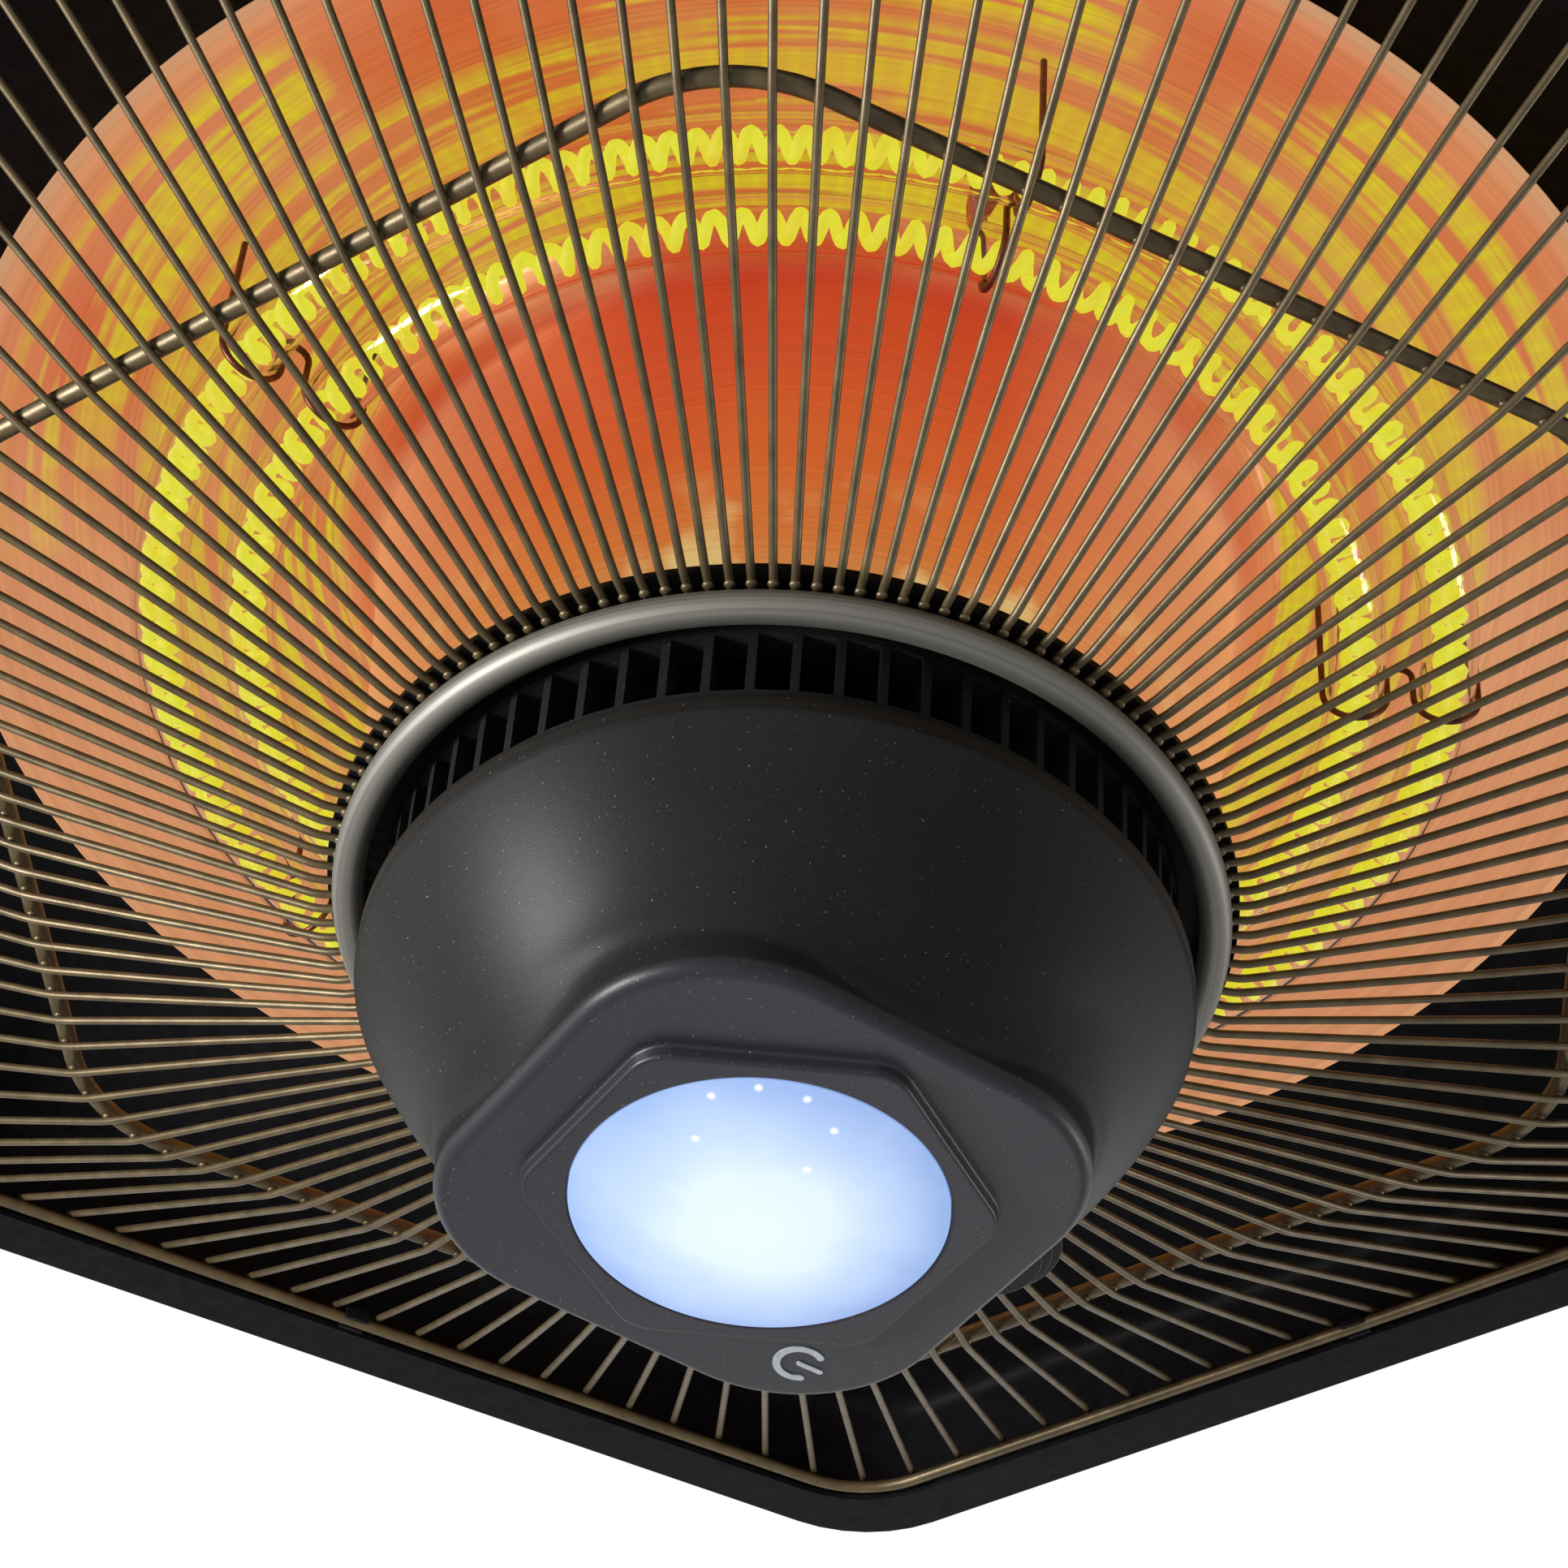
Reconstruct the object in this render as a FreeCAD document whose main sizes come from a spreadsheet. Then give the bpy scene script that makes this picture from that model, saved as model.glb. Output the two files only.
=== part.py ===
import FreeCAD, Part
import Sketcher
import math
import os
import re

# A hanging patio heater: a hexagonal casing with a spun reflector, two ring-shaped quartz tubes,
# a welded wire guard, and a lamp and control unit under the middle.
# Heights are measured up from the rim of the lamp lens. The frame's origin is the centre of the
# hole in the hanging lug, +Z is up, and the casing has a corner on the Y axis.
doc = FreeCAD.newDocument("CeilingPatioHeater")
sheet = doc.addObject("Spreadsheet::Sheet", "Dims")

SIZES = (
    # lamp lens and its seal
    ("lens_radius", 36.0), ("lens_sag", 5.0), ("lens_wall", 2.0), ("lens_flange", 4.0),
    ("lens_flange_thickness", 2.0), ("gasket_thickness", 1.0), ("slip_clearance", 0.2),
    # bowl of the lamp and control unit
    ("bowl_wall", 2.4), ("bowl_radius", 82.4), ("bowl_height", 53.3), ("bowl_lip", 4.5),
    ("bowl_foot_radius", 52.3), ("bowl_bulge", 1.9), ("block_half", 54.0), ("block_corner", 32.4),
    ("block_edge", 3.0), ("block_height", 30.0), ("unit_turn", 37.2),
    ("panel_flat", 40.0), ("panel_corner", 9.0), ("panel_rise", 2.8), ("panel_edge", 1.2),
    ("receiver_radius", 15.0), ("receiver_height", 23.0), ("receiver_step", 2.0),
    ("receiver_narrowing", 2.0), ("receiver_circle", 60.0), ("receiver_turn", 47.0),
    # power symbol, a touch key
    ("symbol_radius", 50.8), ("symbol_turn", 84.9), ("symbol_ring_radius", 4.55),
    ("symbol_stroke", 1.5), ("symbol_thickness", 1.2), ("symbol_bar", 4.7),
    ("symbol_bar_width", 1.2), ("symbol_gap", 113.0), ("symbol_lean", 50.0), ("symbol_rise", 0.3),
    ("inlay_clearance", 0.05), ("sensor_length", 14.0), ("sensor_width", 8.0),
    ("sensor_thickness", 1.2),
    # circuit boards and what is on them
    ("led_board_radius", 46.4), ("board_thickness", 1.6), ("led_screw_circle", 43.0),
    ("led_circle", 25.0), ("led_count", 10.0), ("led_width", 4.0), ("led_height", 1.2),
    ("control_board_radius", 58.0), ("control_board_height", 30.0), ("control_screw_circle", 50.0),
    ("transformer_length", 32.0), ("transformer_width", 26.0), ("transformer_height", 20.0),
    ("relay_length", 19.0), ("relay_width", 15.0), ("relay_height", 16.0),
    ("capacitor_radius", 6.0), ("capacitor_height", 17.0),
    ("small_screw_radius", 1.4), ("small_head_radius", 2.7), ("small_head_height", 1.6),
    ("pillar_radius", 3.2), ("led_pillar_radius", 2.7), ("small_screw_bite", 2.2),
    ("control_post_turn", 67.0),
    # vent ring
    ("vent_radius", 79.4), ("vent_depth", 7.0), ("vent_base", 2.0), ("vent_top", 2.6),
    ("vent_base_inner", 63.5), ("rib_count", 60.0), ("rib_width", 1.0), ("rib_band", 1.8),
    ("bowl_screw_circle", 68.6), ("bowl_boss_radius", 5.0), ("hub_screw_circle", 75.5),
    ("bowl_screw_bite", 9.0),
    # screws for sheet and plastic
    ("screw_radius", 1.9), ("screw_head_radius", 3.4), ("screw_head_height", 2.2),
    # wire guard
    ("ring_radius", 86.5), ("ring_section", 3.3), ("ring_height", 71.9), ("wire_count", 138.0),
    ("wire_radius", 0.85), ("weld_gap", 0.05), ("support_flat", 162.7), ("support_corner", 36.0),
    ("support_radius", 2.0), ("support_height", 103.9), ("rim_flat", 248.0), ("rim_corner", 27.0),
    ("rim_wire_radius", 1.5), ("rim_height", 142.6), ("wire_overhang", 1.2), ("wire_bend", 40.0),
    ("wire_root_bend", 10.0), ("wire_flat_margin", 2.5),
    # hub plate and the tube that carries it
    ("hub_radius", 91.4), ("hub_thickness", 1.6), ("tube_radius", 20.0), ("tube_wall", 2.0),
    ("nut_flat", 26.0), ("nut_height", 8.0), ("thread_clearance", 0.05), ("thread_run_out", 2.0),
    # reflector
    ("reflector_sheet", 0.8), ("drum_radius", 86.0), ("drum_top_radius", 92.0),
    ("roof_inner_radius", 102.0), ("roof_outer_radius", 149.0), ("roof_height", 178.0),
    ("drum_shoulder", 14.0), ("drum_top_height", "=roof_height - drum_shoulder"),
    ("knee_radius", 170.0), ("knee_drop", 5.0), ("knee_height", "=roof_height - knee_drop"),
    ("dish_radius", 185.8), ("dish_drop", 12.8), ("dish_height", "=roof_height - dish_drop"),
    ("dish_roll", 2.0),
    # quartz tubes, filaments and their holders
    ("outer_ring_radius", 136.8), ("inner_ring_radius", 117.6), ("quartz_drop", 30.0),
    ("quartz_height", "=roof_height - quartz_drop"),
    ("quartz_radius", 6.0), ("quartz_wall", 1.0), ("quartz_gap", 20.0), ("quartz_turn", 112.0),
    ("filament_radius", 0.8), ("filament_clearance", 2.3), ("outer_curls", 52.0),
    ("inner_curls", 44.0), ("filament_lead", 9.0), ("end_block_length", 11.0),
    ("end_block_width", 13.0), ("sleeve_radius", 2.4), ("clip_count", 5.0), ("clip_turn", -140.0),
    ("clip_wire_radius", 0.7), ("clip_clearance", 0.15),
    # insulation and fixings above the reflector
    ("insulation_thickness", 2.0), ("insulation_margin", 2.0), ("standoff_radius", 5.0),
    ("standoff_count", 6.0), ("standoff_offset", 1.7), ("rivet_radius", 1.6),
    ("standoff_circle", "=(roof_inner_radius + roof_outer_radius) / 2 + standoff_offset"),
    ("rivet_head_radius", 3.0), ("rivet_head_height", 1.2), ("rivet_bite", 6.0),
    ("screw_bite", 8.0),
    # casing
    ("casing_sheet", 1.5), ("casing_flat", 265.0), ("casing_corner", 35.0), ("skirt_height", 34.0),
    ("skirt_inset", 8.0), ("casing_top_flat", 140.0), ("casing_rise", 28.0),
    ("casing_height", "=roof_height + casing_rise"),
    ("rim_clip_gap", 2.0), ("grille_clip_width", 6.0), ("grille_clip_sheet", 1.0),
    ("grille_clip_foot", 5.0), ("grille_clip_grip", 1.2), ("grille_clip_clearance", 0.15),
    # cover over the terminals, cable gland and terminals
    ("cover_radius", 70.0), ("cover_wall", 2.0), ("cover_height", 32.0), ("cover_flange", 9.0),
    ("cover_screw_count", 6.0), ("cover_screw_inset", 4.5), ("gland_offset", 47.0),
    ("gland_radius", 8.0), ("gland_bore", 4.2), ("gland_flat", 10.5), ("gland_hex_height", 6.0),
    ("gland_cap_radius", 9.5), ("gland_cap_height", 11.0), ("gland_nut_height", 4.0),
    ("gland_thread", 9.0), ("terminal_length", 40.0), ("terminal_width", 18.0),
    ("terminal_height", 19.0), ("terminal_offset", 44.0), ("cutout_radius", 8.0),
    ("cutout_height", 7.0), ("cutout_offset", 46.0), ("harness_radius", 3.0),
    ("harness_bend", 14.0), ("harness_rise", 4.0),
    # hanging point
    ("lug_thickness", 6.0), ("lug_half_width", 13.0), ("lug_centres", 34.0), ("eye_radius", 6.0),
    ("pin_radius", 4.0), ("pin_clearance", 0.06), ("lug_side_gap", 0.3), ("pin_height", 20.0),
    ("ear_thickness", 3.0), ("ear_half_width", 12.0), ("clevis_base", 3.0), ("clevis_length", 56.0),
    ("clevis_width", 40.0), ("clevis_bolt_x", 20.0), ("clevis_bolt_y", 13.0), ("bolt_radius", 2.5),
    ("bolt_head_flat", 4.0), ("bolt_head_height", 3.5), ("bolt_nut_height", 4.0),
    ("bolt_end", 1.0), ("clip_ring_radius", 7.0), ("clip_ring_thickness", 1.0), ("pin_end", 1.5),
)
NAMES = {name for name, value in SIZES}
for row, (name, value) in enumerate(SIZES, 1):
    sheet.set("A%d" % row, name)
    sheet.set("B%d" % row, str(value))
    sheet.setAlias("B%d" % row, name)
doc.recompute()


# Expressions are written with the sizes' own names; these turn them into the sheet's cells.
def cells(expression):
    return re.sub(r"[a-z_]+", lambda m: "Dims." + m.group() if m.group() in NAMES else m.group(), expression)


def number(expression):
    return float(sheet.evalExpression(cells(expression)))


def bind(thing, **properties):
    for name, expression in properties.items():
        thing.setExpression(name.replace("__", "."), cells(expression))


# Stacks of heights that several pieces share, from the lens rim up to the lug's hole.
FLOOR_TOP = "(panel_rise + bowl_wall)"
LENS_SEAT = "(panel_rise + bowl_wall + gasket_thickness)"
LED_BOARD = "(panel_rise + bowl_wall + gasket_thickness + lens_flange_thickness)"
VENT_FOOT = "bowl_height"
WIRE_ROOT = "(ring_height + ring_section + weld_gap + wire_radius)"
HUB_UNDER = "(ring_height + ring_section + 2 * weld_gap + 2 * wire_radius)"
HUB_TOP = "(ring_height + ring_section + 2 * weld_gap + 2 * wire_radius + hub_thickness)"
ROOF_TOP = "(roof_height + reflector_sheet)"
CASING_UNDER = "(casing_height - casing_sheet)"
CASING_FOOT = "(rim_height - rim_wire_radius)"
COVER_TOP = "(casing_height + cover_height)"
CLEVIS_TOP = "(casing_height + cover_height + clevis_base)"
PIN_AXIS = "(casing_height + cover_height + clevis_base + pin_height)"
HANG = "(casing_height + cover_height + clevis_base + pin_height + lug_centres)"
LUG_SLOT = "(lug_thickness + 2 * lug_side_gap)"
PIN_SPAN = "(lug_thickness + 2 * lug_side_gap + 2 * ear_thickness)"

Z_UP = FreeCAD.Vector(0, 0, 1)
Y_AXIS = FreeCAD.Vector(0, 1, 0)
CORNER_TURN = 30.0
nodes = []


def keep(thing, label):
    thing.Label = label
    nodes.append(thing)
    return thing


def place(thing, x="0", y="0", z="0"):
    bind(thing, Placement__Base__x=x, Placement__Base__y=y, Placement__Base__z="%s - %s" % (z, HANG))


# A turned piece: a body with one closed profile of (radius, height) corners, spun about Z.
def turned(label, corners):
    body = doc.addObject("PartDesign::Body", label)
    sketch = body.newObject("Sketcher::SketchObject", label + "_profile")
    plane = [f for f in body.Origin.OriginFeatures if f.Role == "XZ_Plane"][0]
    sketch.AttachmentSupport = [(plane, "")]
    sketch.MapMode = "FlatFace"
    points = [FreeCAD.Vector(number(r), number(z), 0) for r, z in corners]
    count = len(points)
    for i in range(count):
        sketch.addGeometry(Part.LineSegment(points[i], points[(i + 1) % count]), False)
    for i in range(count):
        sketch.addConstraint(Sketcher.Constraint("Coincident", i, 2, (i + 1) % count, 1))
    for i, (r, z) in enumerate(corners):
        for kind, letter, value, expression in (
            ("DistanceX", "r", points[i].x, r),
            ("DistanceY", "z", points[i].y, z),
        ):
            index = sketch.addConstraint(Sketcher.Constraint(kind, -1, 1, i, 1, value))
            sketch.renameConstraint(index, "%s%d" % (letter, i))
            sketch.setExpression("Constraints.%s%d" % (letter, i), cells(expression))
    spin = body.newObject("PartDesign::Revolution", label + "_turn")
    spin.Profile = sketch
    spin.ReferenceAxis = (sketch, ["V_Axis"])
    spin.Angle = 360
    place(body)
    return body


def cylinder(name, radius, low, high, x="0", y="0"):
    solid = doc.addObject("Part::Cylinder", name)
    bind(solid, Radius=radius, Height="%s - %s" % (high, low))
    place(solid, x, y, low)
    return solid


def hexagon(name, flat, low, high, x="0", y="0"):
    solid = doc.addObject("Part::Prism", name)
    solid.Polygon = 6
    bind(solid, Circumradius="%s / cos(30 deg)" % flat, Height="%s - %s" % (high, low))
    place(solid, x, y, low)
    return solid


def block(name, length, width, low, high, x="0", y="0"):
    solid = doc.addObject("Part::Box", name)
    bind(solid, Length=length, Width=width, Height="%s - %s" % (high, low))
    place(solid, "%s - %s / 2" % (x, length), "%s - %s / 2" % (y, width), low)
    return solid


def rod_along_x(name, radius, length, z):
    solid = doc.addObject("Part::Cylinder", name)
    bind(solid, Radius=radius, Height=length)
    solid.Placement.Rotation = FreeCAD.Rotation(Y_AXIS, 90)
    place(solid, "-(%s) / 2" % length, "0", z)
    return solid


def joined(name, pieces):
    if len(pieces) == 1:
        return pieces[0]
    solid = doc.addObject("Part::MultiFuse", name)
    solid.Shapes = pieces
    return solid


def cut(name, base, tools):
    solid = doc.addObject("Part::Cut", name)
    solid.Base = base
    solid.Tool = joined(name + "_tools", tools)
    return solid


def group(name, solids):
    bundle = doc.addObject("Part::Compound", name)
    bundle.Links = solids
    return bundle


def made(name, shape):
    feature = doc.addObject("Part::Feature", name)
    feature.Shape = shape
    feature.Placement = FreeCAD.Placement(FreeCAD.Vector(0, 0, -number(HANG)), FreeCAD.Rotation())
    return feature


# Places on a circle, as pairs of x and y expressions.
def on_circle(radius, count, start=0.0):
    angles = [start + 360.0 * k / count for k in range(count)]
    return [("%s * cos(%.6f deg)" % (radius, a), "%s * sin(%.6f deg)" % (radius, a)) for a in angles]


# Round-headed screws pointing down: each is a head on a shank.
def screws(label, spots, seat, shank, head, head_height, tip):
    solids = []
    for k, (x, y) in enumerate(spots):
        name = "%s_%d" % (label, k)
        cap = cylinder(name + "_head", head, seat, "(%s + %s)" % (seat, head_height), x, y)
        stem = cylinder(name + "_shank", shank, tip, seat, x, y)
        solids.append(joined(name, [cap, stem]))
    return keep(group(label, solids), label)


def holes(label, spots, radius, low, high):
    return [cylinder("%s_%d" % (label, k), radius, low, high, x, y) for k, (x, y) in enumerate(spots)]


# A closed outline of a regular polygon with rounded corners, at one height.
def rounded_polygon(sides, apothem, corner, height, turn=0.0):
    step = 2 * math.pi / sides
    reach = (apothem - corner) / math.cos(step / 2)
    edges = []
    arcs = []
    for k in range(sides):
        first = math.radians(turn) + k * step
        middle = first + step / 2
        centre = FreeCAD.Vector(reach * math.cos(middle), reach * math.sin(middle), height)
        spots = [centre + FreeCAD.Vector(math.cos(a), math.sin(a), 0) * corner
                 for a in (first, middle, first + step)]
        arcs.append(spots)
    for k, spots in enumerate(arcs):
        edges.append(Part.Arc(*spots).toShape())
        edges.append(Part.LineSegment(spots[2], arcs[(k + 1) % sides][0]).toShape())
    return Part.Wire(edges)


def rounded_prism(sides, apothem, corner, low, high, turn=0.0):
    face = Part.Face(rounded_polygon(sides, apothem, corner, low, turn))
    return face.extrude(FreeCAD.Vector(0, 0, high - low))


def spun(edges):
    face = Part.Face(Part.Wire(edges))
    return face.revolve(FreeCAD.Vector(0, 0, 0), Z_UP, 360)


def at_radius(r, z):
    return FreeCAD.Vector(r, 0, z)


def line(a, b):
    return Part.LineSegment(a, b).toShape()


def arc(a, b, c):
    return Part.Arc(a, b, c).toShape()


def bulged(a, b, bulge):
    along = (b - a).normalize()
    side = FreeCAD.Vector(along.z, 0, -along.x)
    return arc(a, (a + b) * 0.5 + side * bulge, b)


def turned_about_z(shape, degrees):
    copy = shape.copy()
    copy.rotate(FreeCAD.Vector(0, 0, 0), Z_UP, degrees)
    return copy


# Bowl: a round shallow cup that runs down into a rounded square block, with a raised hexagonal
# panel round the lens.
def bowl_cup(inset):
    foot = at_radius(number("bowl_foot_radius"), number("panel_rise + block_edge"))
    lip = at_radius(number("bowl_radius"), number("bowl_height - bowl_lip"))
    lean = math.atan2(lip.x - foot.x, lip.z - foot.z)
    foot = foot - at_radius(math.cos(lean), -math.sin(lean)) * inset
    lip = lip - at_radius(inset / math.cos(lean), 0)
    top = at_radius(lip.x, number("bowl_height"))
    axis_low = at_radius(0, foot.z)
    axis_top = at_radius(0, top.z)
    return spun([
        line(axis_low, foot),
        bulged(foot, lip, number("bowl_bulge")),
        line(lip, top),
        line(top, axis_top),
        line(axis_top, axis_low),
    ])


def bowl_block(inset, low):
    turn = number("unit_turn")
    half = number("block_half") - inset
    corner = number("block_corner") - inset
    solid = rounded_prism(4, half, corner, low, number("block_height"), turn)
    bottom = [e for e in solid.Edges if abs(e.BoundBox.ZMax - low) < 1e-6]
    return solid.makeFillet(number("block_edge") - inset, bottom)


def lens_panel():
    solid = rounded_prism(6, number("panel_flat"), number("panel_corner"), 0.0,
                          number("panel_rise + bowl_wall / 2"), number("unit_turn"))
    bottom = [e for e in solid.Edges if abs(e.BoundBox.ZMax) < 1e-6]
    return solid.makeFillet(number("panel_edge"), bottom)


def pillar(x, y, radius, low, high):
    return Part.makeCylinder(radius, high - low, FreeCAD.Vector(x, y, low), Z_UP)


def spots_in_unit(radius, count, start):
    angles = [math.radians(number("unit_turn") + start + 360.0 * k / count) for k in range(count)]
    return [(radius * math.cos(a), radius * math.sin(a)) for a in angles]


# Stepped round boss on the bowl's flank, beside the block, for the remote control's receiver.
def receiver_steps():
    turn = math.radians(number("receiver_turn"))
    reach = number("receiver_circle")
    top = number("bowl_height - 3 * bowl_wall")
    steps = []
    for k in range(3):
        radius = number("receiver_radius") - k * number("receiver_narrowing")
        low = number("receiver_height") + (2 - k) * number("receiver_step")
        steps.append(pillar(reach * math.cos(turn), reach * math.sin(turn), radius, low, top))
    return steps


def build_bowl():
    wall = number("bowl_wall")
    floor = number(FLOOR_TOP)
    root = floor - wall / 2
    outer = bowl_cup(0.0).fuse([bowl_block(0.0, floor - wall), lens_panel()]).removeSplitter()
    inner = bowl_cup(wall).fuse(bowl_block(wall, floor))
    shell = outer.fuse(receiver_steps()).cut(inner)
    led_screw = number("small_screw_radius + thread_clearance")
    boss = number("pillar_radius")
    posts = []
    bores = []
    for x, y in spots_in_unit(number("led_screw_circle"), 3, 0):
        posts.append(pillar(x, y, number("led_pillar_radius"), root, number(LED_BOARD)))
        bores.append(pillar(x, y, led_screw, number(LED_BOARD + "- small_screw_bite"), number(LED_BOARD)))
    for x, y in spots_in_unit(number("control_screw_circle"), 4, number("control_post_turn")):
        top = number("control_board_height")
        posts.append(pillar(x, y, boss, root, top))
        bores.append(pillar(x, y, led_screw, top - number("small_screw_bite"), top))
    bowl_screw = number("screw_radius + thread_clearance")
    top = number("bowl_height")
    depth = number("bowl_screw_bite")
    for x, y in spots_in_unit(number("bowl_screw_circle"), 4, 0):
        posts.append(pillar(x, y, number("bowl_boss_radius"), top - 2 * depth, top))
        bores.append(pillar(x, y, bowl_screw, top - depth, top))
    posts = [post.common(outer) for post in posts]
    shell = shell.fuse(posts).cut(bores)
    lens_hole = pillar(0, 0, number("lens_radius + slip_clearance"), -floor, 2 * floor)
    inlay = symbol_solids(number("inlay_clearance"))
    return shell.cut([lens_hole] + inlay)


# Power symbol: an open ring with a bar through its gap, let into the block's face and a little proud.
def symbol_solids(extra):
    stroke = number("symbol_stroke") / 2 + extra
    ring = number("symbol_ring_radius")
    bottom = number("panel_rise - symbol_rise")
    thickness = number("symbol_thickness + symbol_rise")
    gap = number("symbol_gap") / 2
    middle = FreeCAD.Vector(0, 0, bottom)
    outer = Part.makeCylinder(ring + stroke, thickness, middle, Z_UP, 360 - 2 * gap)
    hole = Part.makeCylinder(ring - stroke, thickness, middle, Z_UP, 360)
    open_ring = outer.cut(hole)
    open_ring.rotate(FreeCAD.Vector(0, 0, 0), Z_UP, gap)
    ends = []
    for turn in (gap, -gap):
        side = math.radians(turn)
        end = FreeCAD.Vector(ring * math.cos(side), ring * math.sin(side), bottom)
        ends.append(Part.makeCylinder(stroke, thickness, end, Z_UP))
    open_ring = open_ring.fuse(ends).removeSplitter()
    reach = number("symbol_bar")
    half = number("symbol_bar_width") / 2 + extra
    bar = Part.makeBox(reach, 2 * half, thickness, FreeCAD.Vector(0, -half, bottom))
    tips = [Part.makeCylinder(half, thickness, FreeCAD.Vector(x, 0, bottom), Z_UP) for x in (0, reach)]
    bar = bar.fuse(tips).removeSplitter()
    turn = number("symbol_turn")
    place_on_face = FreeCAD.Placement(
        FreeCAD.Vector(number("symbol_radius") * math.cos(math.radians(turn)),
                       number("symbol_radius") * math.sin(math.radians(turn)), 0),
        FreeCAD.Rotation(Z_UP, turn - number("symbol_lean")))
    return [solid.transformed(place_on_face.toMatrix()) for solid in (open_ring, bar)]


keep(made("housing_bowl", build_bowl()), "housing_bowl")
keep(made("power_symbol", Part.makeCompound(symbol_solids(0.0))), "power_symbol")


# Lens: a shallow frosted dome with a collar through the floor and a flange behind it.
def build_lens():
    radius = number("lens_radius")
    sag = number("lens_sag")
    wall = number("lens_wall")
    seat = number(LENS_SEAT)
    top = number(LED_BOARD)
    flange = number("lens_radius + lens_flange")
    dome = (radius * radius + sag * sag) / (2 * sag)
    bore = radius - wall
    inner = dome - wall

    def dome_height(r, ball):
        return dome - sag - math.sqrt(ball * ball - r * r)

    return spun([
        arc(at_radius(0, -sag), at_radius(radius / 2, dome_height(radius / 2, dome)), at_radius(radius, 0)),
        line(at_radius(radius, 0), at_radius(radius, seat)),
        line(at_radius(radius, seat), at_radius(flange, seat)),
        line(at_radius(flange, seat), at_radius(flange, top)),
        line(at_radius(flange, top), at_radius(bore, top)),
        line(at_radius(bore, top), at_radius(bore, dome_height(bore, inner))),
        arc(at_radius(bore, dome_height(bore, inner)),
            at_radius(bore / 2, dome_height(bore / 2, inner)), at_radius(0, wall - sag)),
        line(at_radius(0, wall - sag), at_radius(0, -sag)),
    ])


keep(made("lens", build_lens()), "lens")
keep(turned("gasket", [
    ("lens_radius + slip_clearance", FLOOR_TOP), ("lens_radius + lens_flange", FLOOR_TOP),
    ("lens_radius + lens_flange", LENS_SEAT), ("lens_radius + slip_clearance", LENS_SEAT),
]), "lens_gasket")


def unit_circle(radius, count, start):
    return on_circle(radius, count, number("unit_turn") + start)


# Lamp board on its three posts, with the light-emitting chips on its underside.
led_spots = unit_circle("led_screw_circle", 3, 0)
led_board_top = "(%s + board_thickness)" % LED_BOARD
led_plate = cylinder("led_plate", "led_board_radius", LED_BOARD, led_board_top)
keep(cut("led_plate_drilled", led_plate, holes(
    "led_hole", led_spots, "small_screw_radius + thread_clearance", LED_BOARD, led_board_top)), "led_board")
screws("led_board_screws", led_spots, led_board_top, "small_screw_radius", "small_head_radius",
       "small_head_height", "(%s - small_screw_bite)" % LED_BOARD)
chips = [block("chip_%d" % k, "led_width", "led_width", "(%s - led_height)" % LED_BOARD, LED_BOARD, x, y)
         for k, (x, y) in enumerate(on_circle("led_circle", int(number("led_count"))))]
chips.append(block("chip_centre", "led_width", "led_width", "(%s - led_height)" % LED_BOARD, LED_BOARD))
keep(group("chips", chips), "leds")

# Touch pad behind the power symbol, flat on the floor.
sensor = doc.addObject("Part::Box", "sensor")
bind(sensor, Length="sensor_width", Width="sensor_length", Height="sensor_thickness")
sensor.Placement.Rotation = FreeCAD.Rotation(Z_UP, number("symbol_turn"))
sensor_in = "(symbol_radius - sensor_width / 2)"
sensor_turn = "symbol_turn * 1 deg"
place(sensor, "%s * cos(%s) + sensor_length / 2 * sin(%s)" % (sensor_in, sensor_turn, sensor_turn),
      "%s * sin(%s) - sensor_length / 2 * cos(%s)" % (sensor_in, sensor_turn, sensor_turn), FLOOR_TOP)
keep(sensor, "touch_sensor")

# Control board on four tall posts, with its transformer, relays and capacitor.
board_top = "(control_board_height + board_thickness)"
board_spots = unit_circle("control_screw_circle", 4, number("control_post_turn"))
board = cylinder("control_plate", "control_board_radius", "control_board_height", board_top)
keep(cut("control_plate_drilled", board, holes(
    "board_hole", board_spots, "small_screw_radius + thread_clearance", "control_board_height", board_top)),
    "control_board")
screws("control_board_screws", board_spots, board_top, "small_screw_radius", "small_head_radius",
       "small_head_height", "(control_board_height - small_screw_bite)")
part_row = "(harness_radius + 2 * slip_clearance)"
keep(group("board_parts", [
    block("transformer", "transformer_length", "transformer_width", board_top,
          "(%s + transformer_height)" % board_top, "0", "%s + transformer_width / 2" % part_row),
    block("relay_left", "relay_length", "relay_width", board_top, "(%s + relay_height)" % board_top,
          "-relay_length * 0.6", "-%s - relay_width / 2" % part_row),
    block("relay_right", "relay_length", "relay_width", board_top, "(%s + relay_height)" % board_top,
          "relay_length * 0.6", "-%s - relay_width / 2" % part_row),
    cylinder("capacitor", "capacitor_radius", board_top, "(%s + capacitor_height)" % board_top,
             "-transformer_length / 2 - 2 * capacitor_radius", "capacitor_radius + %s" % part_row),
]), "control_parts")

# Vent ring: a base on the bowl, a ring of ribs with open slots, and a top band under the hub plate.
vent_low = "(bowl_height + vent_base + rib_band)"
vent_high = "(%s - vent_top - rib_band)" % HUB_UNDER
ring_blank = turned("vent_blank", [
    ("vent_base_inner", VENT_FOOT), ("vent_radius", VENT_FOOT), ("vent_radius", HUB_UNDER),
    ("vent_radius - vent_depth", HUB_UNDER), ("vent_radius - vent_depth", "bowl_height + vent_base"),
    ("vent_base_inner", "bowl_height + vent_base"),
])


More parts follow.
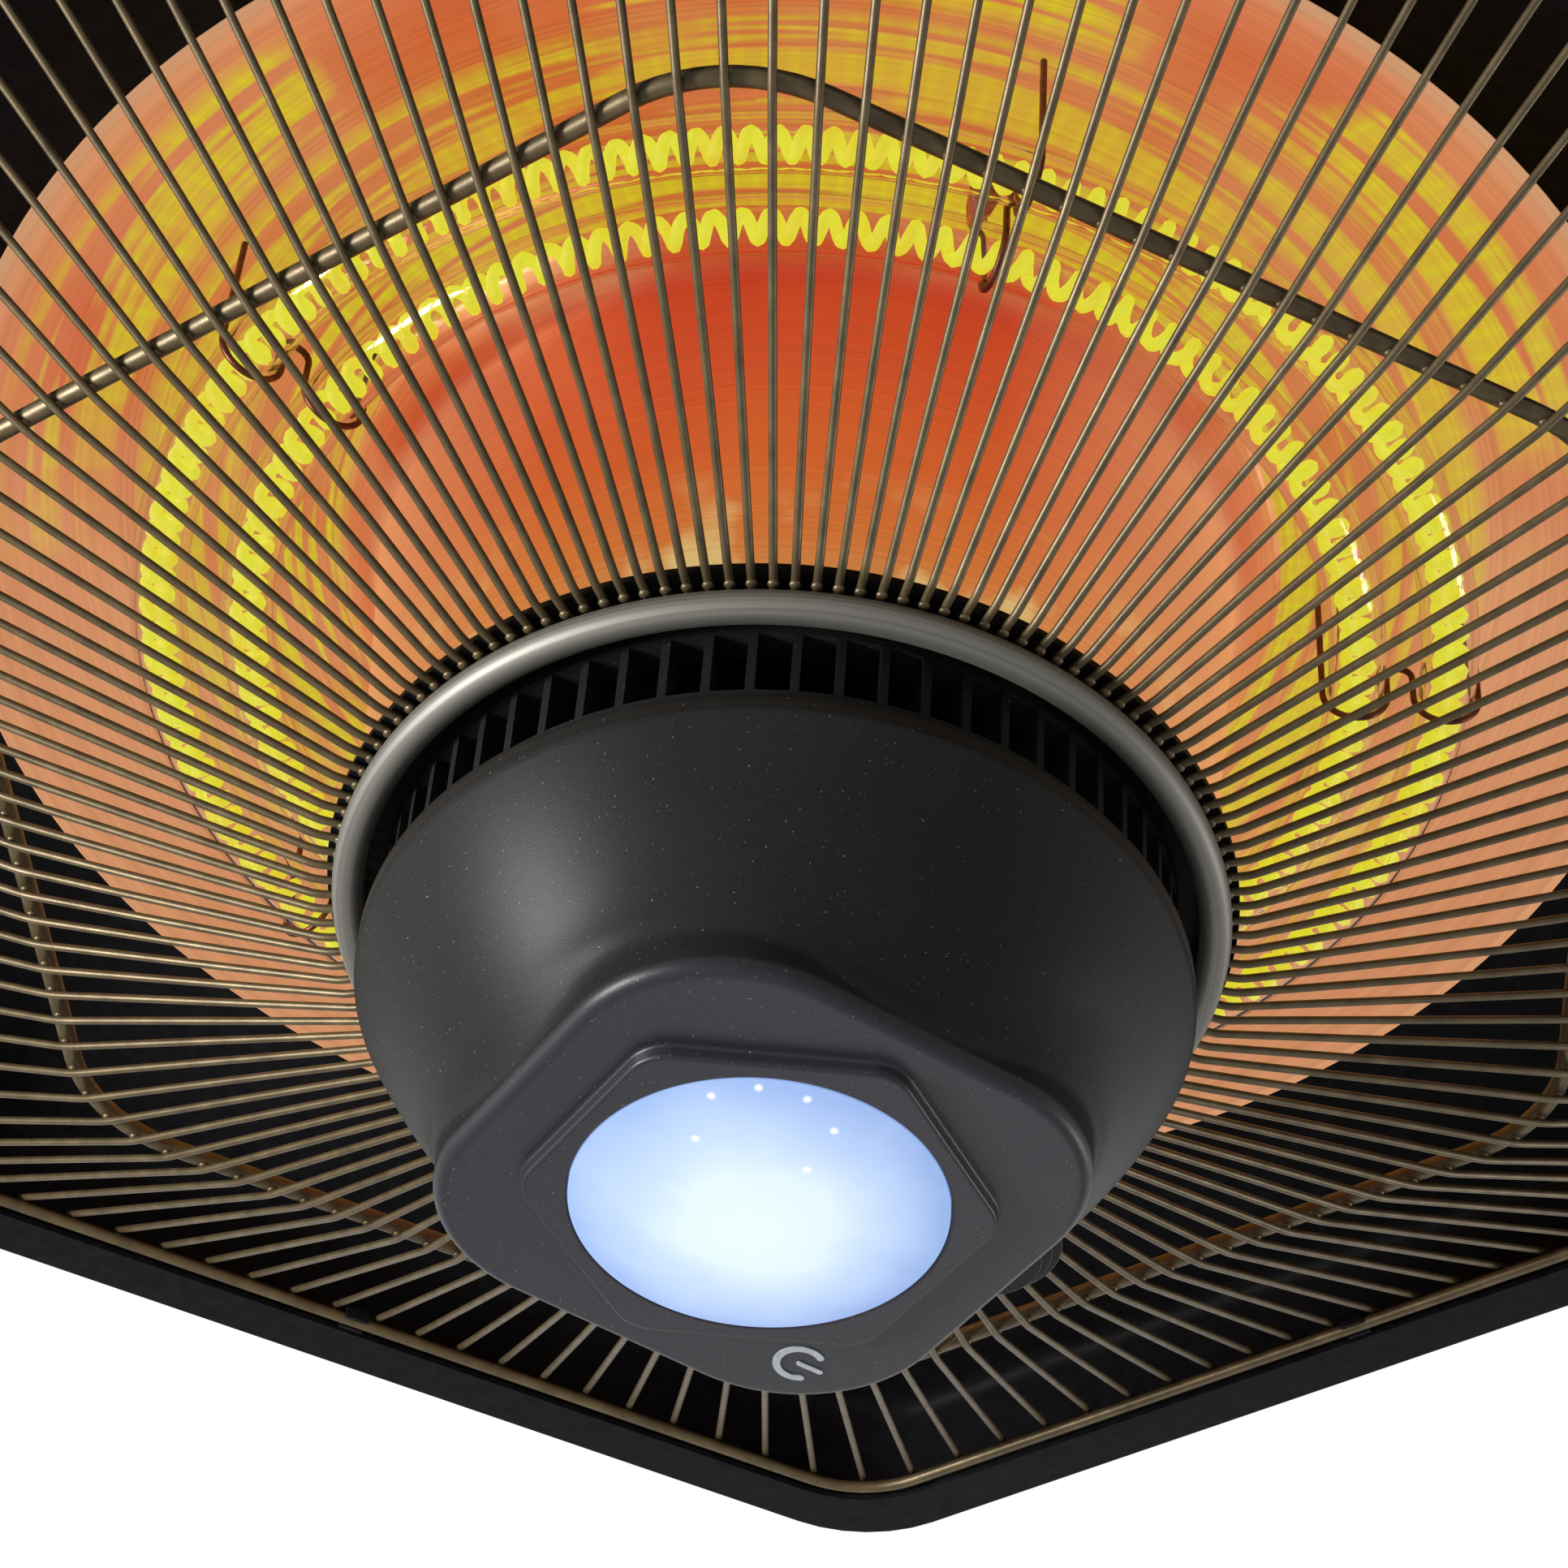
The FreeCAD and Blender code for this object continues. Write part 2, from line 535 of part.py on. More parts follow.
def build_slots():
    count = int(number("rib_count"))
    outer = number("vent_radius")
    depth = number("vent_depth")
    width = 2 * math.pi * (outer - depth) / count - number("rib_width")
    low = number(vent_low)
    slot = Part.makeBox(3 * depth, width, number(vent_high) - low,
                        FreeCAD.Vector(outer - 2 * depth, -width / 2, low))
    return Part.makeCompound([turned_about_z(slot, 360.0 * (k + 0.5) / count) for k in range(count)])


hub_spots = unit_circle("hub_screw_circle", 6, 0)
bowl_spots = unit_circle("bowl_screw_circle", 4, 0)
vent_tools = [made("vent_slots", build_slots())]
vent_tools += holes("hub_bite", hub_spots, "screw_radius + thread_clearance",
                    "(%s - vent_top)" % HUB_UNDER, HUB_UNDER)
vent_tools += holes("bowl_pass", bowl_spots, "screw_radius + thread_clearance", VENT_FOOT,
                    "(bowl_height + vent_base)")
keep(cut("vent_slotted", ring_blank, vent_tools), "vent_ring")
screws("bowl_screws", bowl_spots, "(bowl_height + vent_base)", "screw_radius", "screw_head_radius",
       "screw_head_height", "(bowl_height - bowl_screw_bite)")

# Hub plate on top of the guard's centre ring, held to the vent ring by short screws.
hub_disc = cylinder("hub_disc", "hub_radius", HUB_UNDER, HUB_TOP)
hub_tools = holes("hub_hole", hub_spots, "screw_radius + thread_clearance", HUB_UNDER, HUB_TOP)
hub_tools.append(cylinder("hub_bore", "tube_radius + thread_clearance", HUB_UNDER, HUB_TOP))
keep(cut("hub_drilled", hub_disc, hub_tools), "hub_plate")
screws("hub_screws", hub_spots, HUB_TOP, "screw_radius", "screw_head_radius", "screw_head_height",
       "(%s - vent_top)" % HUB_UNDER)


# Centre tube from the hub plate to the casing's top, with a large nut at each end.
tube_low = "(%s - nut_height - thread_run_out)" % HUB_UNDER
tube_high = "(casing_height + nut_height + thread_run_out)"
keep(turned("carrier", [
    ("tube_radius - tube_wall", tube_low), ("tube_radius", tube_low),
    ("tube_radius", tube_high), ("tube_radius - tube_wall", tube_high),
]), "centre_tube")


def tube_nut(label, low, high):
    bore = cylinder(label + "_bore", "tube_radius + thread_clearance", low, high)
    return keep(cut(label + "_tapped", hexagon(label + "_hex", "nut_flat", low, high), [bore]), label)


tube_nut("lower_tube_nut", "(%s - nut_height)" % HUB_UNDER, HUB_UNDER)
tube_nut("upper_tube_nut", "casing_height", "(casing_height + nut_height)")


# Wire guard: a thick ring, radial wires, and two hexagonal wires welded across them.
guard_ring = doc.addObject("Part::Torus", "guard_ring")
bind(guard_ring, Radius1="ring_radius", Radius2="ring_section")
place(guard_ring, z="ring_height")
keep(guard_ring, "grille_centre_ring")


# A round wire swept along a path that starts at the path's first point.
def round_wire(path, radius, start, direction):
    section = Part.Wire(Part.makeCircle(radius, start, direction))
    return path.makePipeShell([section], True, False)


def hexagon_wire(flat, corner, height, radius):
    path = rounded_polygon(6, flat, corner, height)
    edge = path.OrderedEdges[1]
    first = edge.valueAt(edge.FirstParameter)
    path = Part.Wire(path.OrderedEdges[1:] + path.OrderedEdges[:1])
    return round_wire(path, radius, first, edge.tangentAt(edge.FirstParameter))


keep(made("support_wire", hexagon_wire(number("support_flat"), number("support_corner"),
                                       number("support_height"), number("support_radius"))),
     "grille_support_wire")
keep(made("rim_wire", hexagon_wire(number("rim_flat"), number("rim_corner"), number("rim_height"),
                                   number("rim_wire_radius"))), "grille_rim_wire")


# Distance from the axis to a rounded hexagon in one direction.
def hexagon_reach(flat, corner, angle):
    offset = abs((math.degrees(angle) + CORNER_TURN) % (2 * CORNER_TURN) - CORNER_TURN)
    centre = (flat - corner) / math.cos(math.radians(CORNER_TURN))
    from_corner = math.radians(CORNER_TURN - offset)
    on_side = flat / math.cos(math.radians(offset))
    side_end = math.degrees(math.atan2(centre * math.sin(math.radians(CORNER_TURN)), flat))
    if offset <= side_end:
        return on_side
    across = centre * math.sin(from_corner)
    return centre * math.cos(from_corner) + math.sqrt(corner * corner - across * across)


# Straight runs joined by tangent arcs, one radius for each inner corner.
def bent_path(points, radii):
    edges = []
    last = points[0]
    for i, radius in enumerate(radii, 1):
        to_here = (points[i] - points[i - 1]).normalize()
        onward = (points[i + 1] - points[i]).normalize()
        half = to_here.getAngle(onward) / 2
        reach = radius * math.tan(half)
        begin = points[i] - to_here * reach
        end = points[i] + onward * reach
        inward = (onward - to_here).normalize()
        middle = points[i] + inward * (radius / math.cos(half) - radius)
        edges.append(line(last, begin))
        edges.append(arc(begin, middle, end))
        last = end
    edges.append(line(last, points[-1]))
    return Part.Wire(edges)


def build_guard_wires():
    count = int(number("wire_count"))
    wire = number("wire_radius")
    gap = number("weld_gap")
    root = number(WIRE_ROOT)
    solids = []
    for k in range(count):
        angle = 2 * math.pi * (k + 0.5) / count
        out = FreeCAD.Vector(math.cos(angle), math.sin(angle), 0)
        cross = hexagon_reach(number("support_flat"), number("support_corner"), angle)
        end = hexagon_reach(number("rim_flat"), number("rim_corner"), angle)
        skew = math.radians(CORNER_TURN)
        steep = math.atan2(number("rim_height - support_height"), end - cross)
        lean = math.cos(steep) * math.cos(skew)
        lean /= math.sqrt(lean * lean + math.sin(steep) ** 2)
        under_support = number("support_height") - (number("support_radius") + wire + 4 * gap) / lean
        over_rim = number("rim_height") + (number("rim_wire_radius") + wire + 4 * gap) / lean
        slope = (over_rim - under_support) / (end - cross)
        tail = number("wire_overhang")
        bend = number("hub_radius + wire_flat_margin")
        points = [
            out * (number("ring_radius") - wire) + Z_UP * root,
            out * bend + Z_UP * root,
            out * cross + Z_UP * under_support,
            out * (end + tail) + Z_UP * (over_rim + slope * tail),
        ]
        path = bent_path(points, [number("wire_root_bend"), number("wire_bend")])
        solids.append(round_wire(path, wire, points[0], out))
    return solids


# Six wires that cross the straight lanes to the gaps beside the drum make a piece of their own.
LANE_WIRES = (49, 50, 84, 87, 88, 122)
guard_wires = build_guard_wires()
lane_wires = [guard_wires[k] for k in LANE_WIRES]
other_wires = [wire for k, wire in enumerate(guard_wires) if k not in LANE_WIRES]
keep(made("guard_wires", Part.makeCompound(other_wires)), "grille_wires")
keep(made("guard_lane_wires", Part.makeCompound(lane_wires)), "grille_lane_wires")

# Reflector: a polished drum on the hub plate, and on it a spun sheet with a flat roof over the tubes
# and an outer dish.
keep(turned("spun_drum", [
    ("drum_radius", HUB_TOP),
    ("drum_top_radius", "drum_top_height"),
    ("drum_top_radius - reflector_sheet", "drum_top_height"),
    ("drum_radius - reflector_sheet", HUB_TOP),
]), "reflector_drum")
spun_sheet = turned("spun_sheet", [
    ("drum_top_radius", "drum_top_height"),
    ("roof_inner_radius", "roof_height"),
    ("roof_outer_radius", "roof_height"),
    ("knee_radius", "knee_height"),
    ("dish_radius - dish_roll", "dish_height"),
    ("dish_radius", "dish_height"),
    ("dish_radius", "dish_height + reflector_sheet"),
    ("dish_radius - dish_roll + reflector_sheet / 2", "dish_height + reflector_sheet"),
    ("knee_radius + reflector_sheet / 2", "knee_height + reflector_sheet"),
    ("roof_outer_radius", ROOF_TOP),
    ("roof_inner_radius - reflector_sheet", ROOF_TOP),
    ("drum_top_radius - reflector_sheet", "drum_top_height"),
])
rivet_spots = on_circle("standoff_circle", int(number("standoff_count")), CORNER_TURN)
keep(cut("spun_sheet_drilled", spun_sheet, holes(
    "rivet_hole", rivet_spots, "rivet_radius + thread_clearance", "roof_height", ROOF_TOP)), "reflector")

# Mica ring on the reflector's roof, and the posts that hang the reflector from the casing's top.
mica_top = "(%s + insulation_thickness)" % ROOF_TOP
mica = turned("mica_blank", [
    ("roof_inner_radius + insulation_margin", ROOF_TOP), ("roof_outer_radius - insulation_margin", ROOF_TOP),
    ("roof_outer_radius - insulation_margin", mica_top), ("roof_inner_radius + insulation_margin", mica_top),
])
keep(cut("mica_drilled", mica, holes("mica_hole", rivet_spots, "standoff_radius + slip_clearance", ROOF_TOP,
                                     mica_top)), "insulation_ring")
posts = []
for k, (x, y) in enumerate(rivet_spots):
    post = cylinder("post_%d" % k, "standoff_radius", ROOF_TOP, CASING_UNDER, x, y)
    upper = cylinder("post_upper_%d" % k, "screw_radius + thread_clearance",
                     "(%s - screw_bite)" % CASING_UNDER, CASING_UNDER, x, y)
    lower = cylinder("post_lower_%d" % k, "rivet_radius + thread_clearance", ROOF_TOP,
                     "(%s + rivet_bite)" % ROOF_TOP, x, y)
    posts.append(cut("post_tapped_%d" % k, post, [upper, lower]))
keep(group("posts", posts), "standoffs")
screws("standoff_screws", rivet_spots, "casing_height", "screw_radius", "screw_head_radius",
       "screw_head_height", "(%s - screw_bite)" % CASING_UNDER)
rivets = []
for k, (x, y) in enumerate(rivet_spots):
    head = cylinder("rivet_head_%d" % k, "rivet_head_radius", "(roof_height - rivet_head_height)",
                    "roof_height", x, y)
    stem = cylinder("rivet_stem_%d" % k, "rivet_radius", "roof_height", "(%s + rivet_bite)" % ROOF_TOP, x, y)
    rivets.append(joined("rivet_%d" % k, [head, stem]))
keep(group("rivets", rivets), "reflector_rivets")


# Quartz tubes: two open rings, each with a ceramic block on either end.
def quartz_ring(label, ring_radius):
    tube = doc.addObject("Part::Torus", label + "_outside")
    bore = doc.addObject("Part::Torus", label + "_bore")
    for solid, radius in ((tube, "quartz_radius"), (bore, "quartz_radius - quartz_wall")):
        bind(solid, Radius1=ring_radius, Radius2=radius, Angle3="360 - quartz_gap")
        turn = FreeCAD.Rotation(Z_UP, number("quartz_turn + quartz_gap / 2"))
        solid.Placement = FreeCAD.Placement(FreeCAD.Vector(0, 0, 0), turn)
        place(solid, z="quartz_height")
    return keep(cut(label + "_hollow", tube, [bore]), label)


quartz_ring("outer_quartz_tube", "outer_ring_radius")
quartz_ring("inner_quartz_tube", "inner_ring_radius")


def ring_direction(angle):
    out = FreeCAD.Vector(math.cos(angle), math.sin(angle), 0)
    along = FreeCAD.Vector(-math.sin(angle), math.cos(angle), 0)
    return out, along


def quartz_ends():
    middle = number("quartz_turn")
    half = number("quartz_gap") / 2
    return ((math.radians(middle + half), -1), (math.radians(middle - half), 1))


def build_end_blocks():
    length = number("end_block_length")
    width = number("end_block_width")
    solids = []
    for ring in (number("outer_ring_radius"), number("inner_ring_radius")):
        for angle, way in quartz_ends():
            out, along = ring_direction(angle)
            box = Part.makeBox(length, width, width, FreeCAD.Vector(0, -width / 2, -width / 2))
            turn = FreeCAD.Rotation(along * way, Z_UP.cross(along * way), Z_UP, "ZXY")
            spot = out * ring + Z_UP * number("quartz_height")
            solids.append(box.transformed(FreeCAD.Placement(spot, turn).toMatrix()))
    return Part.makeCompound(solids)


def build_sleeves():
    reach = number("end_block_length") / 2
    low = number("quartz_height + end_block_width / 2")
    solids = []
    for ring in (number("outer_ring_radius"), number("inner_ring_radius")):
        for angle, way in quartz_ends():
            out, along = ring_direction(angle)
            spot = out * ring + along * (way * reach) + Z_UP * low
            solids.append(Part.makeCylinder(number("sleeve_radius"), number("roof_height") - low, spot, Z_UP))
    return Part.makeCompound(solids)


keep(made("end_blocks", build_end_blocks()), "tube_end_blocks")
keep(made("sleeves", build_sleeves()), "lead_sleeves")


# Filament: a coil wound round the ring's own centre line, one unbroken wire from end to end.
def coil_point(ring, coil, angle, twist):
    out, along = ring_direction(angle)
    return out * (ring + coil * math.cos(twist)) + Z_UP * (number("quartz_height") + coil * math.sin(twist))


def coil_tangent(ring, coil, angle, twist, rate):
    out, along = ring_direction(angle)
    across = out * (-math.sin(twist)) + Z_UP * math.cos(twist)
    return (along * (ring + coil * math.cos(twist)) + across * (coil * rate)).normalize()


# Two arcs that leave one point and meet the next with the given directions.
def two_arcs(p0, t0, p1, t1):
    across = p1 - p0
    both = t0 + t1
    square = 2 * (1 - t0.dot(t1))
    lead = across.dot(both)
    if abs(square) < 1e-9:
        reach = across.dot(across) / (4 * across.dot(t1))
    else:
        reach = (math.sqrt(lead * lead + square * across.dot(across)) - lead) / square
    q0 = p0 + t0 * reach
    q1 = p1 - t1 * reach
    meet = (q0 + q1) * 0.5
    return [tangent_arc(p0, q0, meet), tangent_arc(meet, q1, p1)]


def tangent_arc(begin, corner, end):
    middle = (begin + end) * 0.5
    rise = corner - middle
    half = (end - begin).Length / 2
    bend = (corner - begin).getAngle(end - begin)
    if rise.Length < 1e-7:
        return line(begin, end)
    return arc(begin, middle + rise.normalize() * (half * math.tan(bend / 2)), end)


def build_filament(ring, curls):
    wire = number("filament_radius")
    coil = number("quartz_radius - quartz_wall - filament_clearance") - wire
    lead = number("filament_lead") / ring
    straight = 2 * wire / ring
    sweep = math.radians(360 - number("quartz_gap")) - 2 * lead
    begin = quartz_ends()[0][0]
    rate = 2 * math.pi * curls / sweep
    steps = 4 * curls
    edges = []
    samples = []
    spots = []
    for i in range(steps + 1):
        angle = begin + lead + sweep * i / steps
        twist = rate * sweep * i / steps
        spots.append((coil_point(ring, coil, angle, twist), coil_tangent(ring, coil, angle, twist, rate)))
    ends = []
    for angle, way in ((begin, 1), (begin + sweep + 2 * lead, -1)):
        out, along = ring_direction(angle)
        spot = out * ring + Z_UP * number("quartz_height")
        ends.append((spot, spot + along * (way * straight * ring), along))
    edges.append(line(ends[0][0], ends[0][1]))
    edges += two_arcs(ends[0][1], ends[0][2], *spots[0])
    for here, there in zip(spots, spots[1:]):
        edges += two_arcs(*here, *there)
    edges += two_arcs(*spots[-1], ends[1][1], ends[1][2])
    edges.append(line(ends[1][1], ends[1][0]))
    for i in range(8 * steps):
        twist = rate * sweep * i / (8 * steps)
        samples.append(coil_point(ring, coil, begin + lead + sweep * i / (8 * steps), twist))
    turn = 32
    least = min((samples[i] - samples[j]).Length
                for i in range(0, len(samples) - 2 * turn, 4) for j in range(i + turn // 2, i + 2 * turn))
    print("filament of ring radius %.1f: least gap to itself %.2f mm" % (ring, least - 2 * wire))
    path = Part.Wire(edges)
    section = Part.Wire(Part.makeCircle(wire, ends[0][0], ends[0][2]))
    solid = path.makePipeShell([section], True, False)
    length = sum(edge.Length for edge in edges)
    expected = length * math.pi * wire * wire
    print("filament volume over section times length: %.4f" % (solid.Volume / expected))
    return solid


outer_coil = build_filament(number("outer_ring_radius"), int(number("outer_curls")))
inner_coil = build_filament(number("inner_ring_radius"), int(number("inner_curls")))
keep(made("outer_coil", outer_coil), "outer_filament")
keep(made("inner_coil", inner_coil), "inner_filament")


# Tube clips: one wire each, hung from the roof, looped under both tubes.
def build_tube_clips():
    wire = number("clip_wire_radius")
    loop = number("quartz_radius + clip_clearance") + wire
    centre_z = number("quartz_height")
    roof = number("roof_height")
    inner = number("inner_ring_radius")
    outer = number("outer_ring_radius")
    link = (outer - inner) / 2 - loop
    crown = centre_z + number("quartz_radius")
    a = at_radius(inner - loop, roof)
    b = at_radius(inner - loop, centre_z)
    c = at_radius(inner + loop, centre_z)
    d = at_radius(inner + loop, crown)
    e = at_radius(outer - loop, crown)
    f = at_radius(outer - loop, centre_z)
    g = at_radius(outer + loop, centre_z)
    top = at_radius(outer + loop, roof)
    path = Part.Wire([
        line(a, b),
        arc(b, at_radius(inner, centre_z - loop), c),
        line(c, d),
        arc(d, at_radius((inner + outer) / 2, crown + link), e),
        line(e, f),
        arc(f, at_radius(outer, centre_z - loop), g),
        line(g, top),
    ])
    clip = round_wire(path, wire, a, -Z_UP)
    count = int(number("clip_count"))
    turns = [number("clip_turn") + 360.0 * k / count for k in range(count)]
    return Part.makeCompound([turned_about_z(clip, turn) for turn in turns])


keep(made("wire_clips", build_tube_clips()), "tube_clips")


# Casing: a sheet-metal hexagon with a narrow lip inside its lower edge and a flat top.
def build_casing():
    sheet_thickness = number("casing_sheet")
    foot = number(CASING_FOOT)
    skirt = foot + number("skirt_height")
    top = number("casing_height")
    flat = number("casing_flat")
    waist = flat - number("skirt_inset")
    top_flat = number("casing_top_flat")
    corner = number("casing_corner")
    skirt_lean = math.atan2(number("skirt_inset"), number("skirt_height"))
    roof_lean = math.atan2(top - skirt, waist - top_flat)
    side = sheet_thickness / math.cos(skirt_lean)
    turn = (math.pi / 2 - skirt_lean - roof_lean) / 2
    waist_in = sheet_thickness * math.cos(turn + skirt_lean) / math.cos(turn)
    waist_down = sheet_thickness * math.sin(turn + skirt_lean) / math.cos(turn)
    edge_in = sheet_thickness * math.tan(roof_lean / 2)
    outer = [(flat, foot), (waist, skirt), (top_flat, top)]
    lip = foot + sheet_thickness
    lip_flat = flat - (lip - foot) * math.tan(skirt_lean)
    inner = [(lip_flat - side, lip), (waist - waist_in, skirt - waist_down),
             (top_flat - edge_in, top - sheet_thickness)]
    shells = []
    for sections in (outer, inner):
        wires = [rounded_polygon(6, a, corner - (flat - sections[0][0]), z) for a, z in sections]
        shells.append(Part.makeLoft(wires, True, True))
    opening = number("rim_flat + rim_wire_radius + rim_clip_gap")
    mouth = rounded_prism(6, opening, number("rim_corner + rim_wire_radius + rim_clip_gap"),
                          foot - sheet_thickness, lip + sheet_thickness)
    under = top - 2 * sheet_thickness
    bores = [pillar(0, 0, number("tube_radius + thread_clearance"), under, top + 1)]
    fixing = number("screw_radius + thread_clearance")
    for k in range(int(number("standoff_count"))):
        angle = math.radians(CORNER_TURN + 360.0 * k / int(number("standoff_count")))
        ring = number("standoff_circle")
        bores.append(pillar(ring * math.cos(angle), ring * math.sin(angle), fixing, under, top + 1))
    for k in range(int(number("cover_screw_count"))):
        angle = 2 * math.pi * k / int(number("cover_screw_count"))
        ring = number("cover_radius + cover_screw_inset")
        bores.append(pillar(ring * math.cos(angle), ring * math.sin(angle), fixing, under, top + 1))
    return shells[0].cut([shells[1], mouth] + bores)


keep(made("casing", build_casing()), "outer_casing")


# Snap clips on the casing's lip, one in the middle of each side, between two guard wires.
def build_grille_clips():
    sheet_thickness = number("grille_clip_sheet")
    width = number("grille_clip_width")
    slack = number("grille_clip_clearance")
    rim = number("rim_flat")
    wire = number("rim_wire_radius")
    centre_z = number("rim_height")
    lip_top = number(CASING_FOOT + " + casing_sheet")
    lip_edge = number("rim_flat + rim_wire_radius + rim_clip_gap")
    over = centre_z + wire + slack
    low = centre_z - number("grille_clip_grip")
    inside = rim - wire - slack - sheet_thickness
    outside = lip_edge + number("grille_clip_foot")

    def bar(x0, x1, z0, z1):
        return Part.makeBox(x1 - x0, width, z1 - z0, FreeCAD.Vector(x0, -width / 2, z0))

    clip = bar(inside, outside, over, over + sheet_thickness)
    jaws = [
        bar(inside, inside + sheet_thickness, low, over),
        bar(rim + wire + slack, rim + wire + slack + sheet_thickness, low, over),
        bar(lip_edge, outside, lip_top, over),
    ]
    clip = clip.fuse(jaws).removeSplitter()
    return Part.makeCompound([turned_about_z(clip, 60.0 * k) for k in range(6)])


keep(made("snap_clips", build_grille_clips()), "grille_clips")

# Cover over the terminals: a shallow steel cap with a flange, screwed to the casing's top.
cap = turned("cap_blank", [
    ("cover_radius - cover_wall", "casing_height"), ("cover_radius + cover_flange", "casing_height"),
    ("cover_radius + cover_flange", "casing_height + cover_wall"),
    ("cover_radius", "casing_height + cover_wall"),
    ("cover_radius", COVER_TOP), ("0", COVER_TOP), ("0", "(%s - cover_wall)" % COVER_TOP),
    ("cover_radius - cover_wall", "(%s - cover_wall)" % COVER_TOP),
])
cover_spots = on_circle("(cover_radius + cover_screw_inset)", int(number("cover_screw_count")))
cover_tools = holes("cover_hole", cover_spots, "screw_radius + thread_clearance", "casing_height",
                    "(casing_height + cover_wall)")
bolt_spots = [("%s * clevis_bolt_x" % a, "%s * clevis_bolt_y" % b) for a in ("1", "-1") for b in ("1", "-1")]
cover_under = "(%s - cover_wall)" % COVER_TOP
cover_tools += holes("bolt_hole", bolt_spots, "bolt_radius + thread_clearance", cover_under, COVER_TOP)
cover_tools.append(cylinder("gland_hole", "gland_radius + thread_clearance", cover_under, COVER_TOP, "0",
                            "gland_offset"))
keep(cut("cap_drilled", cap, cover_tools), "top_cover")
screws("top_cover_screws", cover_spots, "(casing_height + cover_wall)", "screw_radius", "screw_head_radius",
       "screw_head_height", "(casing_height - casing_sheet)")

# Cable gland through the cover's top: threaded shank, hexagon, rounded cap, and a nut inside.
gland_top = "(%s + gland_hex_height + gland_cap_height)" % COVER_TOP
gland_hex_top = "(%s + gland_hex_height)" % COVER_TOP
gland_low = "(%s - gland_thread)" % COVER_TOP
gland_cap = doc.addObject("Part::Cone", "gland_cap")
bind(gland_cap, Radius1="gland_cap_radius", Radius2="gland_cap_radius * 0.7", Height="gland_cap_height")
place(gland_cap, "0", "gland_offset", gland_hex_top)
gland_body = joined("gland_body", [
    cylinder("gland_shank", "gland_radius", gland_low, COVER_TOP, "0", "gland_offset"),
    hexagon("gland_hex", "gland_flat", COVER_TOP, gland_hex_top, "0", "gland_offset"),
    gland_cap,
])
keep(cut("gland_bored", gland_body, [cylinder("gland_bore_tool", "gland_bore", gland_low, gland_top, "0",
                                              "gland_offset")]), "cable_gland")
gland_nut_low = "(%s - gland_nut_height)" % cover_under
keep(cut("gland_nut_tapped", hexagon("gland_nut_hex", "gland_flat", gland_nut_low, cover_under, "0",
                                     "gland_offset"),
         [cylinder("gland_nut_bore", "gland_radius + thread_clearance", gland_nut_low, cover_under, "0",
                   "gland_offset")]), "gland_nut")

# Terminals and thermal cut-out on the casing's top, under the cover.
keep(block("terminals", "terminal_length", "terminal_width", "casing_height",
           "(casing_height + terminal_height)", "0", "-terminal_offset"), "terminal_block")
keep(cylinder("cutout", "cutout_radius", "casing_height", "(casing_height + cutout_height)", "cutout_offset"),
     "thermal_cutout")


# Harness: out of the terminals, over the tube's mouth and down to the control board.
def build_harness():
    radius = number("harness_radius")
    level = number("casing_height + nut_height + thread_run_out + harness_rise") + radius
    begin = FreeCAD.Vector(0, -number("terminal_offset - terminal_width / 2"), level)
    corner = FreeCAD.Vector(0, 0, level)
    end = FreeCAD.Vector(0, 0, number(board_top))
    path = bent_path([begin, corner, end], [number("harness_bend")])
    return round_wire(path, radius, begin, Y_AXIS)


keep(made("lead_bundle", build_harness()), "wiring_harness")

# Clevis bolted to the cover, its pin, and the lug that swings on the pin.
ear_x = "(%s / 2 + ear_thickness / 2)" % LUG_SLOT
clevis_pieces = [block("clevis_plate", "clevis_length", "clevis_width", COVER_TOP, CLEVIS_TOP)]
for k, side in enumerate(("", "-")):
    clevis_pieces.append(block("ear_%d" % k, "ear_thickness", "2 * ear_half_width", CLEVIS_TOP, PIN_AXIS,
                               side + ear_x))
    crown = doc.addObject("Part::Cylinder", "ear_crown_%d" % k)
    bind(crown, Radius="ear_half_width", Height="ear_thickness")
    crown.Placement.Rotation = FreeCAD.Rotation(Y_AXIS, 90)
    place(crown, "%s%s - ear_thickness / 2" % (side, ear_x), "0", PIN_AXIS)
    clevis_pieces.append(crown)
clevis_tools = [rod_along_x("clevis_bore", "pin_radius + pin_clearance", PIN_SPAN, PIN_AXIS)]
clevis_tools += holes("clevis_hole", bolt_spots, "bolt_radius + thread_clearance", COVER_TOP, CLEVIS_TOP)
keep(cut("clevis_drilled", joined("clevis_blank", clevis_pieces), clevis_tools), "hanger_clevis")

bolts = []
nuts = []
for k, (x, y) in enumerate(bolt_spots):
    nut_low = "(%s - bolt_nut_height)" % cover_under
    head = hexagon("bolt_head_%d" % k, "bolt_head_flat", CLEVIS_TOP,
                   "(%s + bolt_head_height)" % CLEVIS_TOP, x, y)
    stem = cylinder("bolt_stem_%d" % k, "bolt_radius", "(%s - bolt_end)" % nut_low, CLEVIS_TOP, x, y)
    bolts.append(joined("bolt_%d" % k, [head, stem]))
    nut = hexagon("nut_%d" % k, "bolt_head_flat", nut_low, cover_under, x, y)
    bore = cylinder("nut_bore_%d" % k, "bolt_radius + thread_clearance", nut_low, cover_under, x, y)
    nuts.append(cut("nut_tapped_%d" % k, nut, [bore]))
keep(group("bolts", bolts), "clevis_bolts")
keep(group("nuts", nuts), "clevis_nuts")

